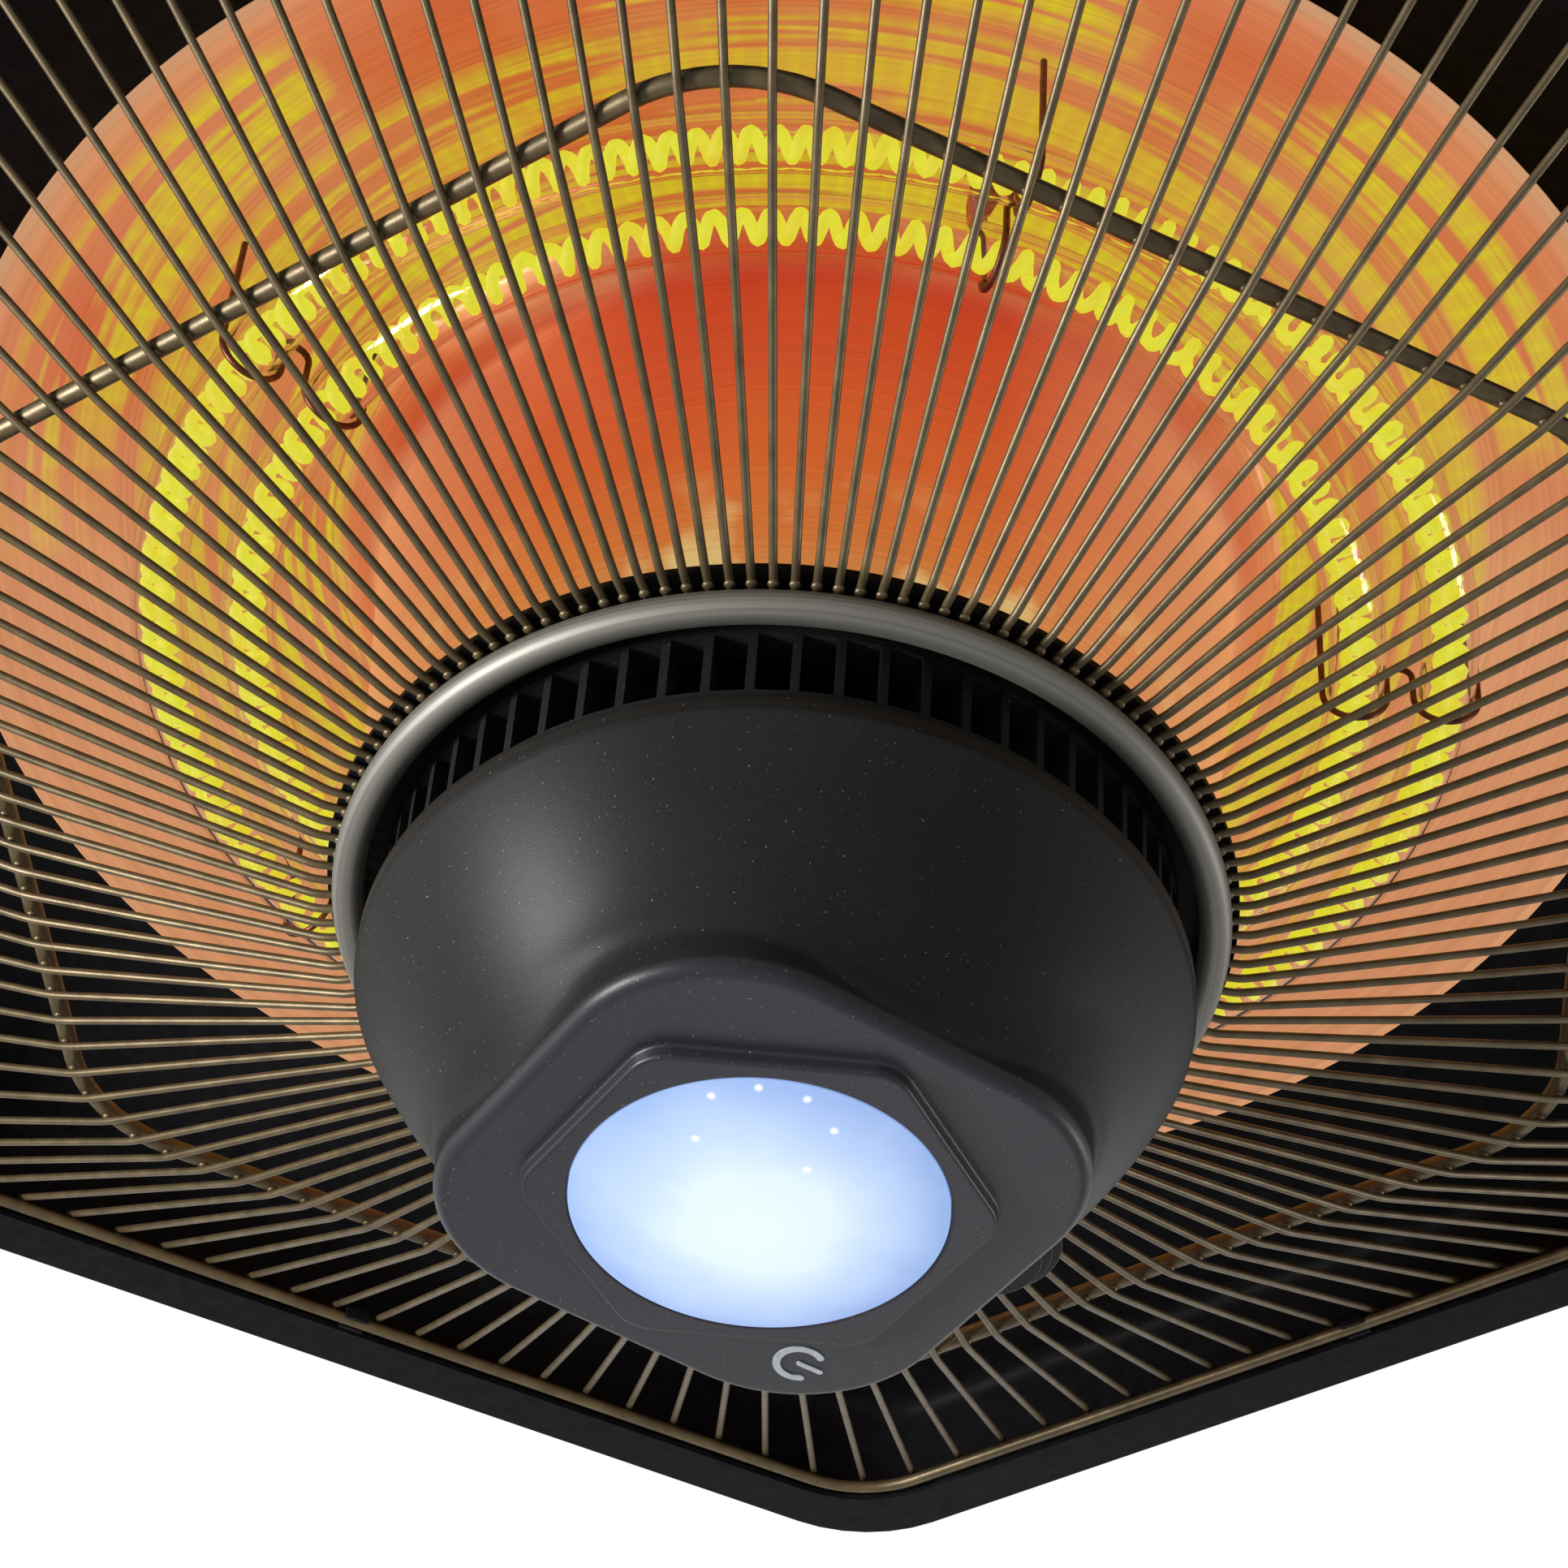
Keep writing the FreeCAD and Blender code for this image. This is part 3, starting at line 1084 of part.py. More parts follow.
pin_length = "(%s + 2 * clip_ring_thickness + 2 * pin_end)" % PIN_SPAN
keep(rod_along_x("pin", "pin_radius", pin_length, PIN_AXIS), "pivot_pin")
rings = []
for k, start in enumerate(("%s / 2" % PIN_SPAN, "-%s / 2 - clip_ring_thickness" % PIN_SPAN)):
    ring = rod_along_x("clip_ring_%d" % k, "clip_ring_radius", "clip_ring_thickness", PIN_AXIS)
    bore = rod_along_x("clip_bore_%d" % k, "pin_radius + thread_clearance", "clip_ring_thickness", PIN_AXIS)
    for solid in (ring, bore):
        bind(solid, Placement__Base__x=start)
    rings.append(cut("clip_ring_bored_%d" % k, ring, [bore]))
keep(group("clip_rings", rings), "pivot_clips")

lug_pieces = [
    block("lug_web", "lug_thickness", "2 * lug_half_width", PIN_AXIS, HANG),
    rod_along_x("lug_foot", "lug_half_width", "lug_thickness", PIN_AXIS),
    rod_along_x("lug_head", "lug_half_width", "lug_thickness", HANG),
]
keep(cut("lug_drilled", joined("lug_blank", lug_pieces), [
    rod_along_x("lug_bore", "pin_radius + pin_clearance", "lug_thickness", PIN_AXIS),
    rod_along_x("lug_eye", "eye_radius", "lug_thickness", HANG),
]), "hanging_lug")

doc.recompute()

# Every object has to be sound before anything is written.
for thing in doc.Objects:
    if "Invalid" in thing.State or "Error" in thing.State:
        raise RuntimeError("%s is %s" % (thing.Label, thing.State))
for node in nodes:
    if node.Shape.isNull() or not node.Shape.isValid():
        raise RuntimeError("%s has no sound shape" % node.Label)

os.makedirs("parts", exist_ok=True)
for node in nodes:
    node.Shape.exportStep("parts/%s.step" % node.Label)
print("%d pieces written" % len(nodes))
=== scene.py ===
import math

import bmesh
import bpy
from mathutils import Matrix, Vector


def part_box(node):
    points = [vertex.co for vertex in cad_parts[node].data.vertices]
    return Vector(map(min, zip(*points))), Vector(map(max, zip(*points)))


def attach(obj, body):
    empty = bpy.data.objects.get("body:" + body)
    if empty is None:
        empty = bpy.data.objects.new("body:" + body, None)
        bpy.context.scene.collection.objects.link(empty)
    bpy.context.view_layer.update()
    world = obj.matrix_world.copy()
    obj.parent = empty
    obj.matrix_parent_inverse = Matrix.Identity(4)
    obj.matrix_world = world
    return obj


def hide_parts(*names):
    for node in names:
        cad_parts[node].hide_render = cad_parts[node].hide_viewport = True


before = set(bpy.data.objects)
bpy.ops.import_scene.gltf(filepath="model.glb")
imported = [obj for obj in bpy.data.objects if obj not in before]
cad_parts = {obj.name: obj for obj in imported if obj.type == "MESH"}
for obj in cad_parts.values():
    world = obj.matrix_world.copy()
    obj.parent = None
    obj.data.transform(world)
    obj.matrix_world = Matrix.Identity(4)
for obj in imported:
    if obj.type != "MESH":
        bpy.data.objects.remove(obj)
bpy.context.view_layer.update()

# Hanging lug, clevis and pin: plate steel cut, drilled and zinc plated.
# The lug swings on the pin between the clevis's ears, and four bolts hold the clevis to the cover.
# The zinc shows a faint spangle and goes duller where it has been handled.


def finish(name, base, roughness, metallic=0.0):
    material = bpy.data.materials.new(name)
    material.use_nodes = True
    tree = material.node_tree
    shader = tree.nodes["Principled BSDF"]
    shader.inputs["Base Color"].default_value = (*base, 1.0)
    shader.inputs["Roughness"].default_value = roughness
    shader.inputs["Metallic"].default_value = metallic
    return material, tree, shader


def place_on(tree, stretch=(1.0, 1.0, 1.0)):
    coordinate = tree.nodes.new("ShaderNodeTexCoord")
    mapping = tree.nodes.new("ShaderNodeMapping")
    mapping.inputs["Scale"].default_value = stretch
    tree.links.new(coordinate.outputs["Object"], mapping.inputs["Vector"])
    return mapping.outputs["Vector"]


def grain(tree, point, scale, detail=4.0, harshness=0.55):
    noise = tree.nodes.new("ShaderNodeTexNoise")
    noise.inputs["Scale"].default_value = scale
    noise.inputs["Detail"].default_value = detail
    noise.inputs["Roughness"].default_value = harshness
    tree.links.new(point, noise.inputs["Vector"])
    return noise.outputs["Fac"]


def flakes(tree, point, scale):
    cells = tree.nodes.new("ShaderNodeTexVoronoi")
    cells.inputs["Scale"].default_value = scale
    tree.links.new(point, cells.inputs["Vector"])
    return cells.outputs["Color"]


def shades(tree, factor, *stops):
    ramp = tree.nodes.new("ShaderNodeValToRGB")
    elements = ramp.color_ramp.elements
    elements[0].position = stops[0][0]
    elements[0].color = (*stops[0][1], 1.0)
    elements[1].position = stops[-1][0]
    elements[1].color = (*stops[-1][1], 1.0)
    for position, colour in stops[1:-1]:
        elements.new(position).color = (*colour, 1.0)
    tree.links.new(factor, ramp.inputs["Fac"])
    return ramp.outputs["Color"]


def spread(tree, factor, low, high):
    span = tree.nodes.new("ShaderNodeMapRange")
    span.inputs["To Min"].default_value = low
    span.inputs["To Max"].default_value = high
    tree.links.new(factor, span.inputs["Value"])
    return span.outputs["Result"]


def relief(tree, shader, height, depth):
    bump = tree.nodes.new("ShaderNodeBump")
    bump.inputs["Distance"].default_value = depth
    tree.links.new(height, bump.inputs["Height"])
    tree.links.new(bump.outputs["Normal"], shader.inputs["Normal"])


def dress(material, *nodes):
    for node in nodes:
        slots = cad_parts[node].data.materials
        slots.clear()
        slots.append(material)


zinc, tree, shader = finish("zinc plate", (0.6, 0.6, 0.58), 0.4, 1.0)
spangle = flakes(tree, place_on(tree), 420.0)
tree.links.new(shades(tree, spangle, (0.0, (0.48, 0.49, 0.5)), (1.0, (0.66, 0.66, 0.63))),
               shader.inputs["Base Color"])
handled = grain(tree, place_on(tree), 90.0)
tree.links.new(spread(tree, handled, 0.28, 0.55), shader.inputs["Roughness"])
relief(tree, shader, grain(tree, place_on(tree), 1400.0), 0.00004)
dress(zinc, "hanging_lug", "hanger_clevis", "pivot_pin", "pivot_clips", "clevis_bolts", "clevis_nuts",
      "standoffs", "standoff_screws", "top_cover_screws", "bowl_screws", "hub_screws",
      "led_board_screws", "control_board_screws", "centre_tube", "upper_tube_nut", "lower_tube_nut",
      "thermal_cutout")

# Casing: a hexagonal hood folded and welded from sheet steel, stoved satin black inside and out.
# A narrow lip is turned in round its lower edge, and the guard clips onto that lip.
# The folds are rounded, and the paint has the slight orange peel of a sprayed coat.
MM = 0.001
lens_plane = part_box("housing_bowl")[0].z


def height(millimetres):
    return lens_plane + millimetres * MM


ARC_STEPS = 6
SIDE_STEPS = 4


def outline(sides, apothem, corner, level):
    step = 2 * math.pi / sides
    reach = (apothem - corner) / math.cos(step / 2)
    points = []
    for k in range(sides):
        first = k * step
        middle = first + step / 2
        for j in range(ARC_STEPS + 1):
            angle = first + step * j / ARC_STEPS
            points.append(Vector((reach * math.cos(middle) + corner * math.cos(angle),
                                  reach * math.sin(middle) + corner * math.sin(angle), level)))
        here = points[-1]
        following = middle + step
        there = Vector((reach * math.cos(following) + corner * math.cos(first + step),
                        reach * math.sin(following) + corner * math.sin(first + step), level))
        for j in range(1, SIDE_STEPS):
            points.append(here.lerp(there, j / SIDE_STEPS))
    return points


def eased(corners, radii, steps=5):
    points = [Vector(corners[0])]
    for i, radius in enumerate(radii, 1):
        here = Vector(corners[i])
        arriving = (here - Vector(corners[i - 1])).normalized()
        leaving = (Vector(corners[i + 1]) - here).normalized()
        turn = arriving.angle(leaving)
        reach = radius * math.tan(turn / 2)
        start = here - arriving * reach
        end = here + leaving * reach
        for j in range(steps + 1):
            t = j / steps
            points.append(start * (1 - t) ** 2 + here * (2 * t * (1 - t)) + end * t ** 2)
    points.append(Vector(corners[-1]))
    return points


def skinned(name, rings, material, sharp=40.0):
    count = len(rings[0])
    faces = []
    for i in range(len(rings)):
        a = i * count
        b = (i + 1) % len(rings) * count
        faces += [(a + k, a + (k + 1) % count, b + (k + 1) % count, b + k) for k in range(count)]
    mesh = bpy.data.meshes.new(name)
    mesh.from_pydata([point for ring in rings for point in ring], [], faces)
    return closed(name, mesh, material, sharp)


def closed(name, mesh, material, sharp):
    work = bmesh.new()
    work.from_mesh(mesh)
    bmesh.ops.remove_doubles(work, verts=work.verts, dist=1e-7)
    bmesh.ops.recalc_face_normals(work, faces=work.faces)
    work.to_mesh(mesh)
    work.free()
    mesh.materials.append(material)
    mesh.shade_smooth()
    mesh.set_sharp_from_angle(angle=math.radians(sharp))
    made = bpy.data.objects.new(name, mesh)
    bpy.context.scene.collection.objects.link(made)
    return made


def fitted(made, slot, *nodes):
    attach(made, "heater")
    if nodes:
        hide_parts(*nodes)


black_paint, tree, shader = finish("satin black stoving", (0.007, 0.007, 0.008), 0.42)
shader.inputs["Specular IOR Level"].default_value = 0.04
peel = grain(tree, place_on(tree), 260.0, 2.0)
tree.links.new(shades(tree, peel, (0.3, (0.005, 0.005, 0.006)), (0.7, (0.009, 0.009, 0.010))),
               shader.inputs["Base Color"])
tree.links.new(spread(tree, grain(tree, place_on(tree), 35.0), 0.36, 0.5), shader.inputs["Roughness"])
relief(tree, shader, peel, 0.00006)

SHEET = 1.5
CASING_FOOT = 141.1
CASING_ROOF = 206.0
ROOF_HOLE = 20.1
LIP_EDGE = 251.5
LIP_CORNER = 30.5
CASING_CORNER = 35.0
casing_outside = eased([(LIP_EDGE, CASING_FOOT), (265.0, CASING_FOOT), (257.0, 175.1),
                        (140.0, CASING_ROOF), (ROOF_HOLE, CASING_ROOF)], [0.8, 9.0, 16.0])
casing_inside = eased([(ROOF_HOLE, CASING_ROOF - SHEET), (139.6, CASING_ROOF - SHEET), (255.7, 174.0),
                       (263.1, CASING_FOOT + SHEET), (LIP_EDGE, CASING_FOOT + SHEET)], [15.0, 8.0, 0.6])
casing_rings = []
for apothem, level in casing_outside + casing_inside:
    on_lip = apothem < LIP_EDGE + 0.01 and level < CASING_FOOT + 2.0
    corner = LIP_CORNER if on_lip else CASING_CORNER
    casing_rings.append(outline(6, apothem * MM, min(corner, apothem) * MM, height(level)))
casing = skinned("hexagon_casing", casing_rings, black_paint)
fitted(casing, "black_paint", "outer_casing")
dress(black_paint, "top_cover", "grille_clips")

# Cable gland and its nut: moulded black nylon, screwed through the cover.
# The gland is left open, ready for the mains lead.
# Nylon has a soft sheen and fine mould texture.
nylon, tree, shader = finish("black nylon", (0.018, 0.018, 0.019), 0.5)
pebble = grain(tree, place_on(tree), 1100.0, 3.0)
tree.links.new(shades(tree, pebble, (0.3, (0.014, 0.014, 0.015)), (0.75, (0.026, 0.026, 0.028))),
               shader.inputs["Base Color"])
relief(tree, shader, pebble, 0.00005)
dress(nylon, "cable_gland", "gland_nut", "control_parts")

# Reflector: an aluminium dish spun over a former, standing on a polished drum round the middle.
# Riveted to posts under the casing; its outer edge is a narrow flat lip.
# Spinning leaves fine rings; the peach-to-red glow of the hot tubes on it, and their reflections, are
# painted light in its emission.


def calc(tree, operation, a, b=None, kind="ShaderNodeMath"):
    node = tree.nodes.new(kind)
    node.operation = operation
    for socket, value in zip(node.inputs, (a, b)):
        if value is None:
            continue
        if isinstance(value, (int, float)):
            socket.default_value = value
        else:
            tree.links.new(value, socket)
    return node.outputs[0]


def from_axis(tree):
    parts = tree.nodes.new("ShaderNodeSeparateXYZ")
    tree.links.new(place_on(tree), parts.inputs["Vector"])
    across = calc(tree, "POWER", parts.outputs["X"], 2.0)
    along = calc(tree, "POWER", parts.outputs["Y"], 2.0)
    return calc(tree, "SQRT", calc(tree, "ADD", across, along)), parts.outputs["Z"]


def blended(tree, factor, first, second):
    mix = tree.nodes.new("ShaderNodeMix")
    mix.data_type = "RGBA"
    if isinstance(factor, float):
        mix.inputs["Factor"].default_value = factor
    else:
        tree.links.new(factor, mix.inputs["Factor"])
    tree.links.new(first, mix.inputs["A"])
    tree.links.new(second, mix.inputs["B"])
    return mix.outputs["Result"]


def share(tree, value, low, high):
    span = tree.nodes.new("ShaderNodeMapRange")
    span.inputs["From Min"].default_value = low
    span.inputs["From Max"].default_value = high
    tree.links.new(value, span.inputs["Value"])
    return span.outputs["Result"]


def joined(tree, x, y, z):
    point = tree.nodes.new("ShaderNodeCombineXYZ")
    for socket, value in zip(point.inputs, (x, y, z)):
        if isinstance(value, float):
            socket.default_value = value
        else:
            tree.links.new(value, socket)
    return point.outputs["Vector"]


def plain_colour(tree, colour):
    node = tree.nodes.new("ShaderNodeRGB")
    node.outputs["Color"].default_value = (*colour, 1.0)
    return node.outputs["Color"]


HUB_TOP = 78.65
ROOF_LEVEL = 178.0
DRUM_RADIUS = 92.0
DISH_RADIUS = 186.0
OUTER_TURNS = 155
spun_metal, tree, shader = finish("spun reflector aluminium", (0.1, 0.06, 0.03), 0.35, 1.0)
radius, level = from_axis(tree)
run = calc(tree, "ADD", radius, level)
plane = tree.nodes.new("ShaderNodeSeparateXYZ")
tree.links.new(place_on(tree), plane.inputs["Vector"])
bearing = calc(tree, "ARCTAN2", plane.outputs["Y"], plane.outputs["X"])
streaks = grain(tree, joined(tree, run, 0.0, 0.0), 900.0, 6.0, 0.7)
facing = joined(tree, calc(tree, "COSINE", bearing), calc(tree, "SINE", bearing),
                calc(tree, "MULTIPLY", run, 9.0))
# This noise gives the metal's random tone and also places painted peach and yellow reflections on the
# dish.
tone_and_painted_reflection = share(tree, grain(tree, facing, 2.2, 3.0), 0.36, 0.64)
# Peach is painted reflection of the bright room: towards the drum's sides, on the dish's far side and
# at its edge.
painted_peach_reflection = plain_colour(tree, (0.66, 0.29, 0.14))
# The drum's and dish's colour ramps are painted glow from the hot tubes, set as emission.
painted_drum_glow = shades(tree, share(tree, level, height(HUB_TOP), height(ROOF_LEVEL - 14.0)),
                   (0.0, (0.62, 0.27, 0.08)), (0.16, (0.62, 0.17, 0.04)), (0.45, (0.60, 0.085, 0.025)),
                   (1.0, (0.55, 0.038, 0.018)))
painted_side_reflection = share(tree, calc(tree, "ABSOLUTE", calc(tree, "COSINE", bearing)), 0.5, 0.95)
painted_drum_glow = blended(tree, calc(tree, "MULTIPLY", painted_side_reflection, 0.8), painted_drum_glow, painted_peach_reflection)
# Pale spots low on the drum are painted highlights.
painted_foot_highlights = share(tree, grain(tree, facing, 5.0, 2.0), 0.52, 0.66)
at_foot = calc(tree, "SUBTRACT", 1.0, share(tree, level, height(84.0), height(112.0)))
painted_drum_glow = blended(tree, calc(tree, "MULTIPLY", painted_foot_highlights, at_foot), painted_drum_glow,
                    plain_colour(tree, (0.72, 0.52, 0.2)))
painted_dish_glow = shades(tree, share(tree, radius, DRUM_RADIUS * MM, DISH_RADIUS * MM),
                   (0.0, (0.55, 0.05, 0.02)), (0.13, (0.62, 0.15, 0.035)), (0.55, (0.62, 0.15, 0.035)),
                   (0.78, (0.62, 0.11, 0.04)), (0.92, (0.66, 0.2, 0.09)), (1.0, (0.62, 0.36, 0.2)))
painted_dish_glow = blended(tree, calc(tree, "MULTIPLY", tone_and_painted_reflection, 0.45), painted_dish_glow, painted_peach_reflection)
far_side = share(tree, plane.outputs["Y"], -0.06, 0.01)
outward = spread(tree, share(tree, radius, 128.0 * MM, 150.0 * MM), 0.25, 0.85)
painted_dish_glow = blended(tree, calc(tree, "MULTIPLY", far_side, outward), painted_dish_glow, painted_peach_reflection)
past_drum = share(tree, radius, DRUM_RADIUS * MM, (DRUM_RADIUS + 3.0) * MM)
painted_glow = blended(tree, past_drum, painted_drum_glow, painted_dish_glow)
# The yellow bands and patches are painted reflections of the glowing coils, rippled by their turns.
reflection_bands = shades(tree, share(tree, radius, DRUM_RADIUS * MM, DISH_RADIUS * MM),
               (0.08, (0.0, 0.0, 0.0)), (0.13, (1.0, 1.0, 1.0)), (0.30, (1.0, 1.0, 1.0)),
               (0.33, (0.1, 0.1, 0.1)), (0.37, (0.75, 0.75, 0.75)), (0.55, (0.75, 0.75, 0.75)),
               (0.59, (0.05, 0.05, 0.05)), (0.65, (0.95, 0.95, 0.95)), (0.84, (0.95, 0.95, 0.95)),
               (0.9, (0.0, 0.0, 0.0)))
corners = calc(tree, "MULTIPLY", calc(tree, "COSINE", calc(tree, "MULTIPLY", bearing, 6.0)), -0.5)
reflection_patches = share(tree, calc(tree, "ADD", corners, tone_and_painted_reflection), 0.2, 0.6)
inside = calc(tree, "SUBTRACT", 1.0, share(tree, radius, 147.0 * MM, 150.0 * MM))
reflected_teeth = spread(tree, calc(tree, "SINE", calc(tree, "MULTIPLY", bearing, OUTER_TURNS)), 0.8, 1.0)
wander = joined(tree, run, calc(tree, "MULTIPLY", calc(tree, "COSINE", bearing), 0.006),
                calc(tree, "MULTIPLY", calc(tree, "SINE", bearing), 0.006))
reflection_stripes = share(tree, grain(tree, wander, 230.0, 2.0), 0.44, 0.52)
coil_reflection = calc(tree, "MULTIPLY", calc(tree, "MULTIPLY", reflection_bands, reflected_teeth), reflection_stripes)
reflection_patches = calc(tree, "MULTIPLY", reflection_patches, calc(tree, "SUBTRACT", 1.0, far_side))
coil_reflection = calc(tree, "MULTIPLY", coil_reflection, calc(tree, "MAXIMUM", inside, reflection_patches))
lit = blended(tree, coil_reflection, painted_glow, plain_colour(tree, (0.66, 0.56, 0.02)))
rings = shades(tree, streaks, (0.3, (0.72, 0.68, 0.64)), (0.65, (1.0, 1.0, 1.0)))
tree.links.new(calc(tree, "MULTIPLY", lit, rings, "ShaderNodeVectorMath"),
               shader.inputs["Emission Color"])
shader.inputs["Emission Strength"].default_value = 1.0
# The dark, warm base colour is a painted tint to go with the glow, not bare aluminium's own colour.
tree.links.new(shades(tree, tone_and_painted_reflection, (0.0, (0.08, 0.05, 0.022)), (1.0, (0.13, 0.085, 0.045))),
               shader.inputs["Base Color"])
tree.links.new(spread(tree, streaks, 0.26, 0.44), shader.inputs["Roughness"])
shader.inputs["Anisotropic"].default_value = 0.5
relief(tree, shader, streaks, 0.00004)
dress(spun_metal, "reflector_rivets")


def turned(name, profile, material, count=192):
    rings = []
    for r, level in profile:
        rings.append([Vector((r * MM * math.cos(2 * math.pi * k / count),
                              r * MM * math.sin(2 * math.pi * k / count), height(level)))
                      for k in range(count)])
    return skinned(name, rings, material)


def thickened(line, wall):
    back = []
    for i, here in enumerate(line):
        before = line[max(i - 1, 0)]
        after = line[min(i + 1, len(line) - 1)]
        along = (after - before).normalized()
        back.append(here + Vector((-along.y, along.x)) * wall)
    return line + back[::-1]


DISH_EDGE = 165.2
DISH_WALL = 0.8
dish_line = eased([(86.0, HUB_TOP + 0.05), (DRUM_RADIUS, 164.0), (102.0, ROOF_LEVEL),
                   (149.0, ROOF_LEVEL), (170.0, 173.0), (183.8, DISH_EDGE), (185.8, DISH_EDGE)],
                  [10.0, 7.0, 12.0, 20.0, 1.0], 6)
dish = turned("spun_reflector", thickened(dish_line, DISH_WALL), spun_metal)
fitted(dish, "polished_reflector", "reflector", "reflector_drum")

# Insulation: a pressed mica ring laid on the reflector's back, under the casing.
# Mica is flaky and golden brown, with glints between its layers.
mica, tree, shader = finish("pressed mica", (0.55, 0.44, 0.3), 0.5)
layers = flakes(tree, place_on(tree, (1.0, 1.0, 4.0)), 160.0)
tree.links.new(shades(tree, layers, (0.2, (0.42, 0.32, 0.2)), (0.8, (0.66, 0.54, 0.38))),
               shader.inputs["Base Color"])
tree.links.new(spread(tree, layers, 0.25, 0.6), shader.inputs["Roughness"])
dress(mica, "insulation_ring")

# Quartz tubes: two clear fused-quartz tubes bent into open rings, one inside the other.
# Each hangs in wire clips under the reflector's roof and ends in white ceramic blocks.
# The outer one keeps the small sealed nipple where it was evacuated.
quartz, tree, shader = finish("clear quartz", (1.0, 0.97, 0.93), 0.03)
shader.inputs["Transmission Weight"].default_value = 1.0
shader.inputs["IOR"].default_value = 1.3
drawn = grain(tree, place_on(tree, (1.0, 1.0, 6.0)), 120.0, 2.0)
tree.links.new(spread(tree, drawn, 0.0, 0.06), shader.inputs["Roughness"])
relief(tree, shader, drawn, 0.00002)

TUBE_LEVEL = 148.0
TUBE_GAP = 20.0
TUBE_TURN = 112.0
TUBE_OUTSIDE = 6.0
TUBE_BORE = 5.0
OUTER_RING = 136.8
INNER_RING = 117.6


def quartz_ring(name, ring, node):
    sides = 20
    steps = 160
    start = math.radians(TUBE_TURN + TUBE_GAP / 2)
    sweep = math.radians(360 - TUBE_GAP)
    around_tube = [2 * math.pi * k / sides for k in range(sides)]
    circle = [(math.cos(angle), math.sin(angle)) for angle in around_tube]
    rings = []
    for i in list(range(steps + 1)) + list(range(steps, -1, -1)):
        angle = start + sweep * i / steps
        tube = TUBE_OUTSIDE if len(rings) <= steps else TUBE_BORE
        rings.append([Vector(((ring + tube * x) * MM * math.cos(angle),
                              (ring + tube * x) * MM * math.sin(angle),
                              height(TUBE_LEVEL + tube * y))) for x, y in circle])
    made = skinned(name, rings, quartz, 60.0)
    fitted(made, "quartz", node)


quartz_ring("outer_quartz_ring", OUTER_RING, "outer_quartz_tube")
quartz_ring("inner_quartz_ring", INNER_RING, "inner_quartz_tube")

burnt, tree, shader = finish("burnt quartz tip", (0.45, 0.08, 0.04), 0.12)
shader.inputs["Transmission Weight"].default_value = 0.6
smoke = grain(tree, place_on(tree), 260.0, 3.0)
tree.links.new(shades(tree, smoke, (0.3, (0.30, 0.035, 0.02)), (0.7, (0.62, 0.16, 0.07))),
               shader.inputs["Base Color"])
relief(tree, shader, smoke, 0.0003)
TIP_TURN = math.radians(-71.0)
TIP_ROOT = 131.2
tip = turned("sealed_tip", eased([(0.01, 0.0), (3.2, 0.0), (2.6, 4.0), (1.0, 8.5), (0.01, 9.5)],
                                 [0.6, 2.0, 1.2], 5), burnt, 20)
stand = Matrix.Rotation(math.radians(-90.0), 4, "Y")
tip.data.transform(Matrix.Translation((0.0, 0.0, -lens_plane)))
tip.data.transform(stand)
tip.data.transform(Matrix.Translation((TIP_ROOT * MM, 0.0, height(TUBE_LEVEL))))
tip.data.transform(Matrix.Rotation(TIP_TURN, 4, "Z"))
fitted(tip, "quartz")

# Filaments: coiled resistance wire, one in each tube, glowing yellow.
# Wound as a long even spring and bent round with the tube, sagging a little in it.
# It lights itself, so it shows almost no shading.
glow, tree, shader = finish("glowing coil", (0.1, 0.09, 0.01), 0.6)
heat = grain(tree, place_on(tree), 60.0, 2.0)
hot = shades(tree, heat, (0.25, (0.70, 0.55, 0.02)), (0.55, (0.68, 0.68, 0.03)))
tree.links.new(hot, shader.inputs["Emission Color"])
shader.inputs["Emission Strength"].default_value = 1.0


def grown(name, tree, sizes, spots=()):
    start = bpy.data.meshes.new(name)
    start.from_pydata(spots, [], [])
    made = bpy.data.objects.new(name, start)
    bpy.context.scene.collection.objects.link(made)
    rule = made.modifiers.new("rule", "NODES")
    rule.node_group = tree
    sockets = {item.name: item.identifier for item in tree.interface.items_tree
               if item.in_out == "INPUT"}
    for label, value in sizes.items():
        rule[sockets[label]] = value
    depsgraph = bpy.context.evaluated_depsgraph_get()
    mesh = bpy.data.meshes.new_from_object(made.evaluated_get(depsgraph), depsgraph=depsgraph)
    made.modifiers.remove(rule)
    made.data = mesh
    return made


def rule_tree(name, inputs):
    tree = bpy.data.node_groups.new(name, "GeometryNodeTree")
    for label, kind in inputs:
        tree.interface.new_socket(name=label, in_out="INPUT", socket_type="NodeSocket" + kind)
    tree.interface.new_socket(name="Geometry", in_out="OUTPUT", socket_type="NodeSocketGeometry")
    entry = tree.nodes.new("NodeGroupInput")
    return tree, entry.outputs


def rule_end(tree, geometry, material):
    real = tree.nodes.new("GeometryNodeRealizeInstances")
    paint = tree.nodes.new("GeometryNodeSetMaterial")
    leave = tree.nodes.new("NodeGroupOutput")
    tree.links.new(geometry, real.inputs["Geometry"])
    tree.links.new(real.outputs["Geometry"], paint.inputs["Geometry"])
    tree.links.new(material, paint.inputs["Material"])
    tree.links.new(paint.outputs["Geometry"], leave.inputs["Geometry"])


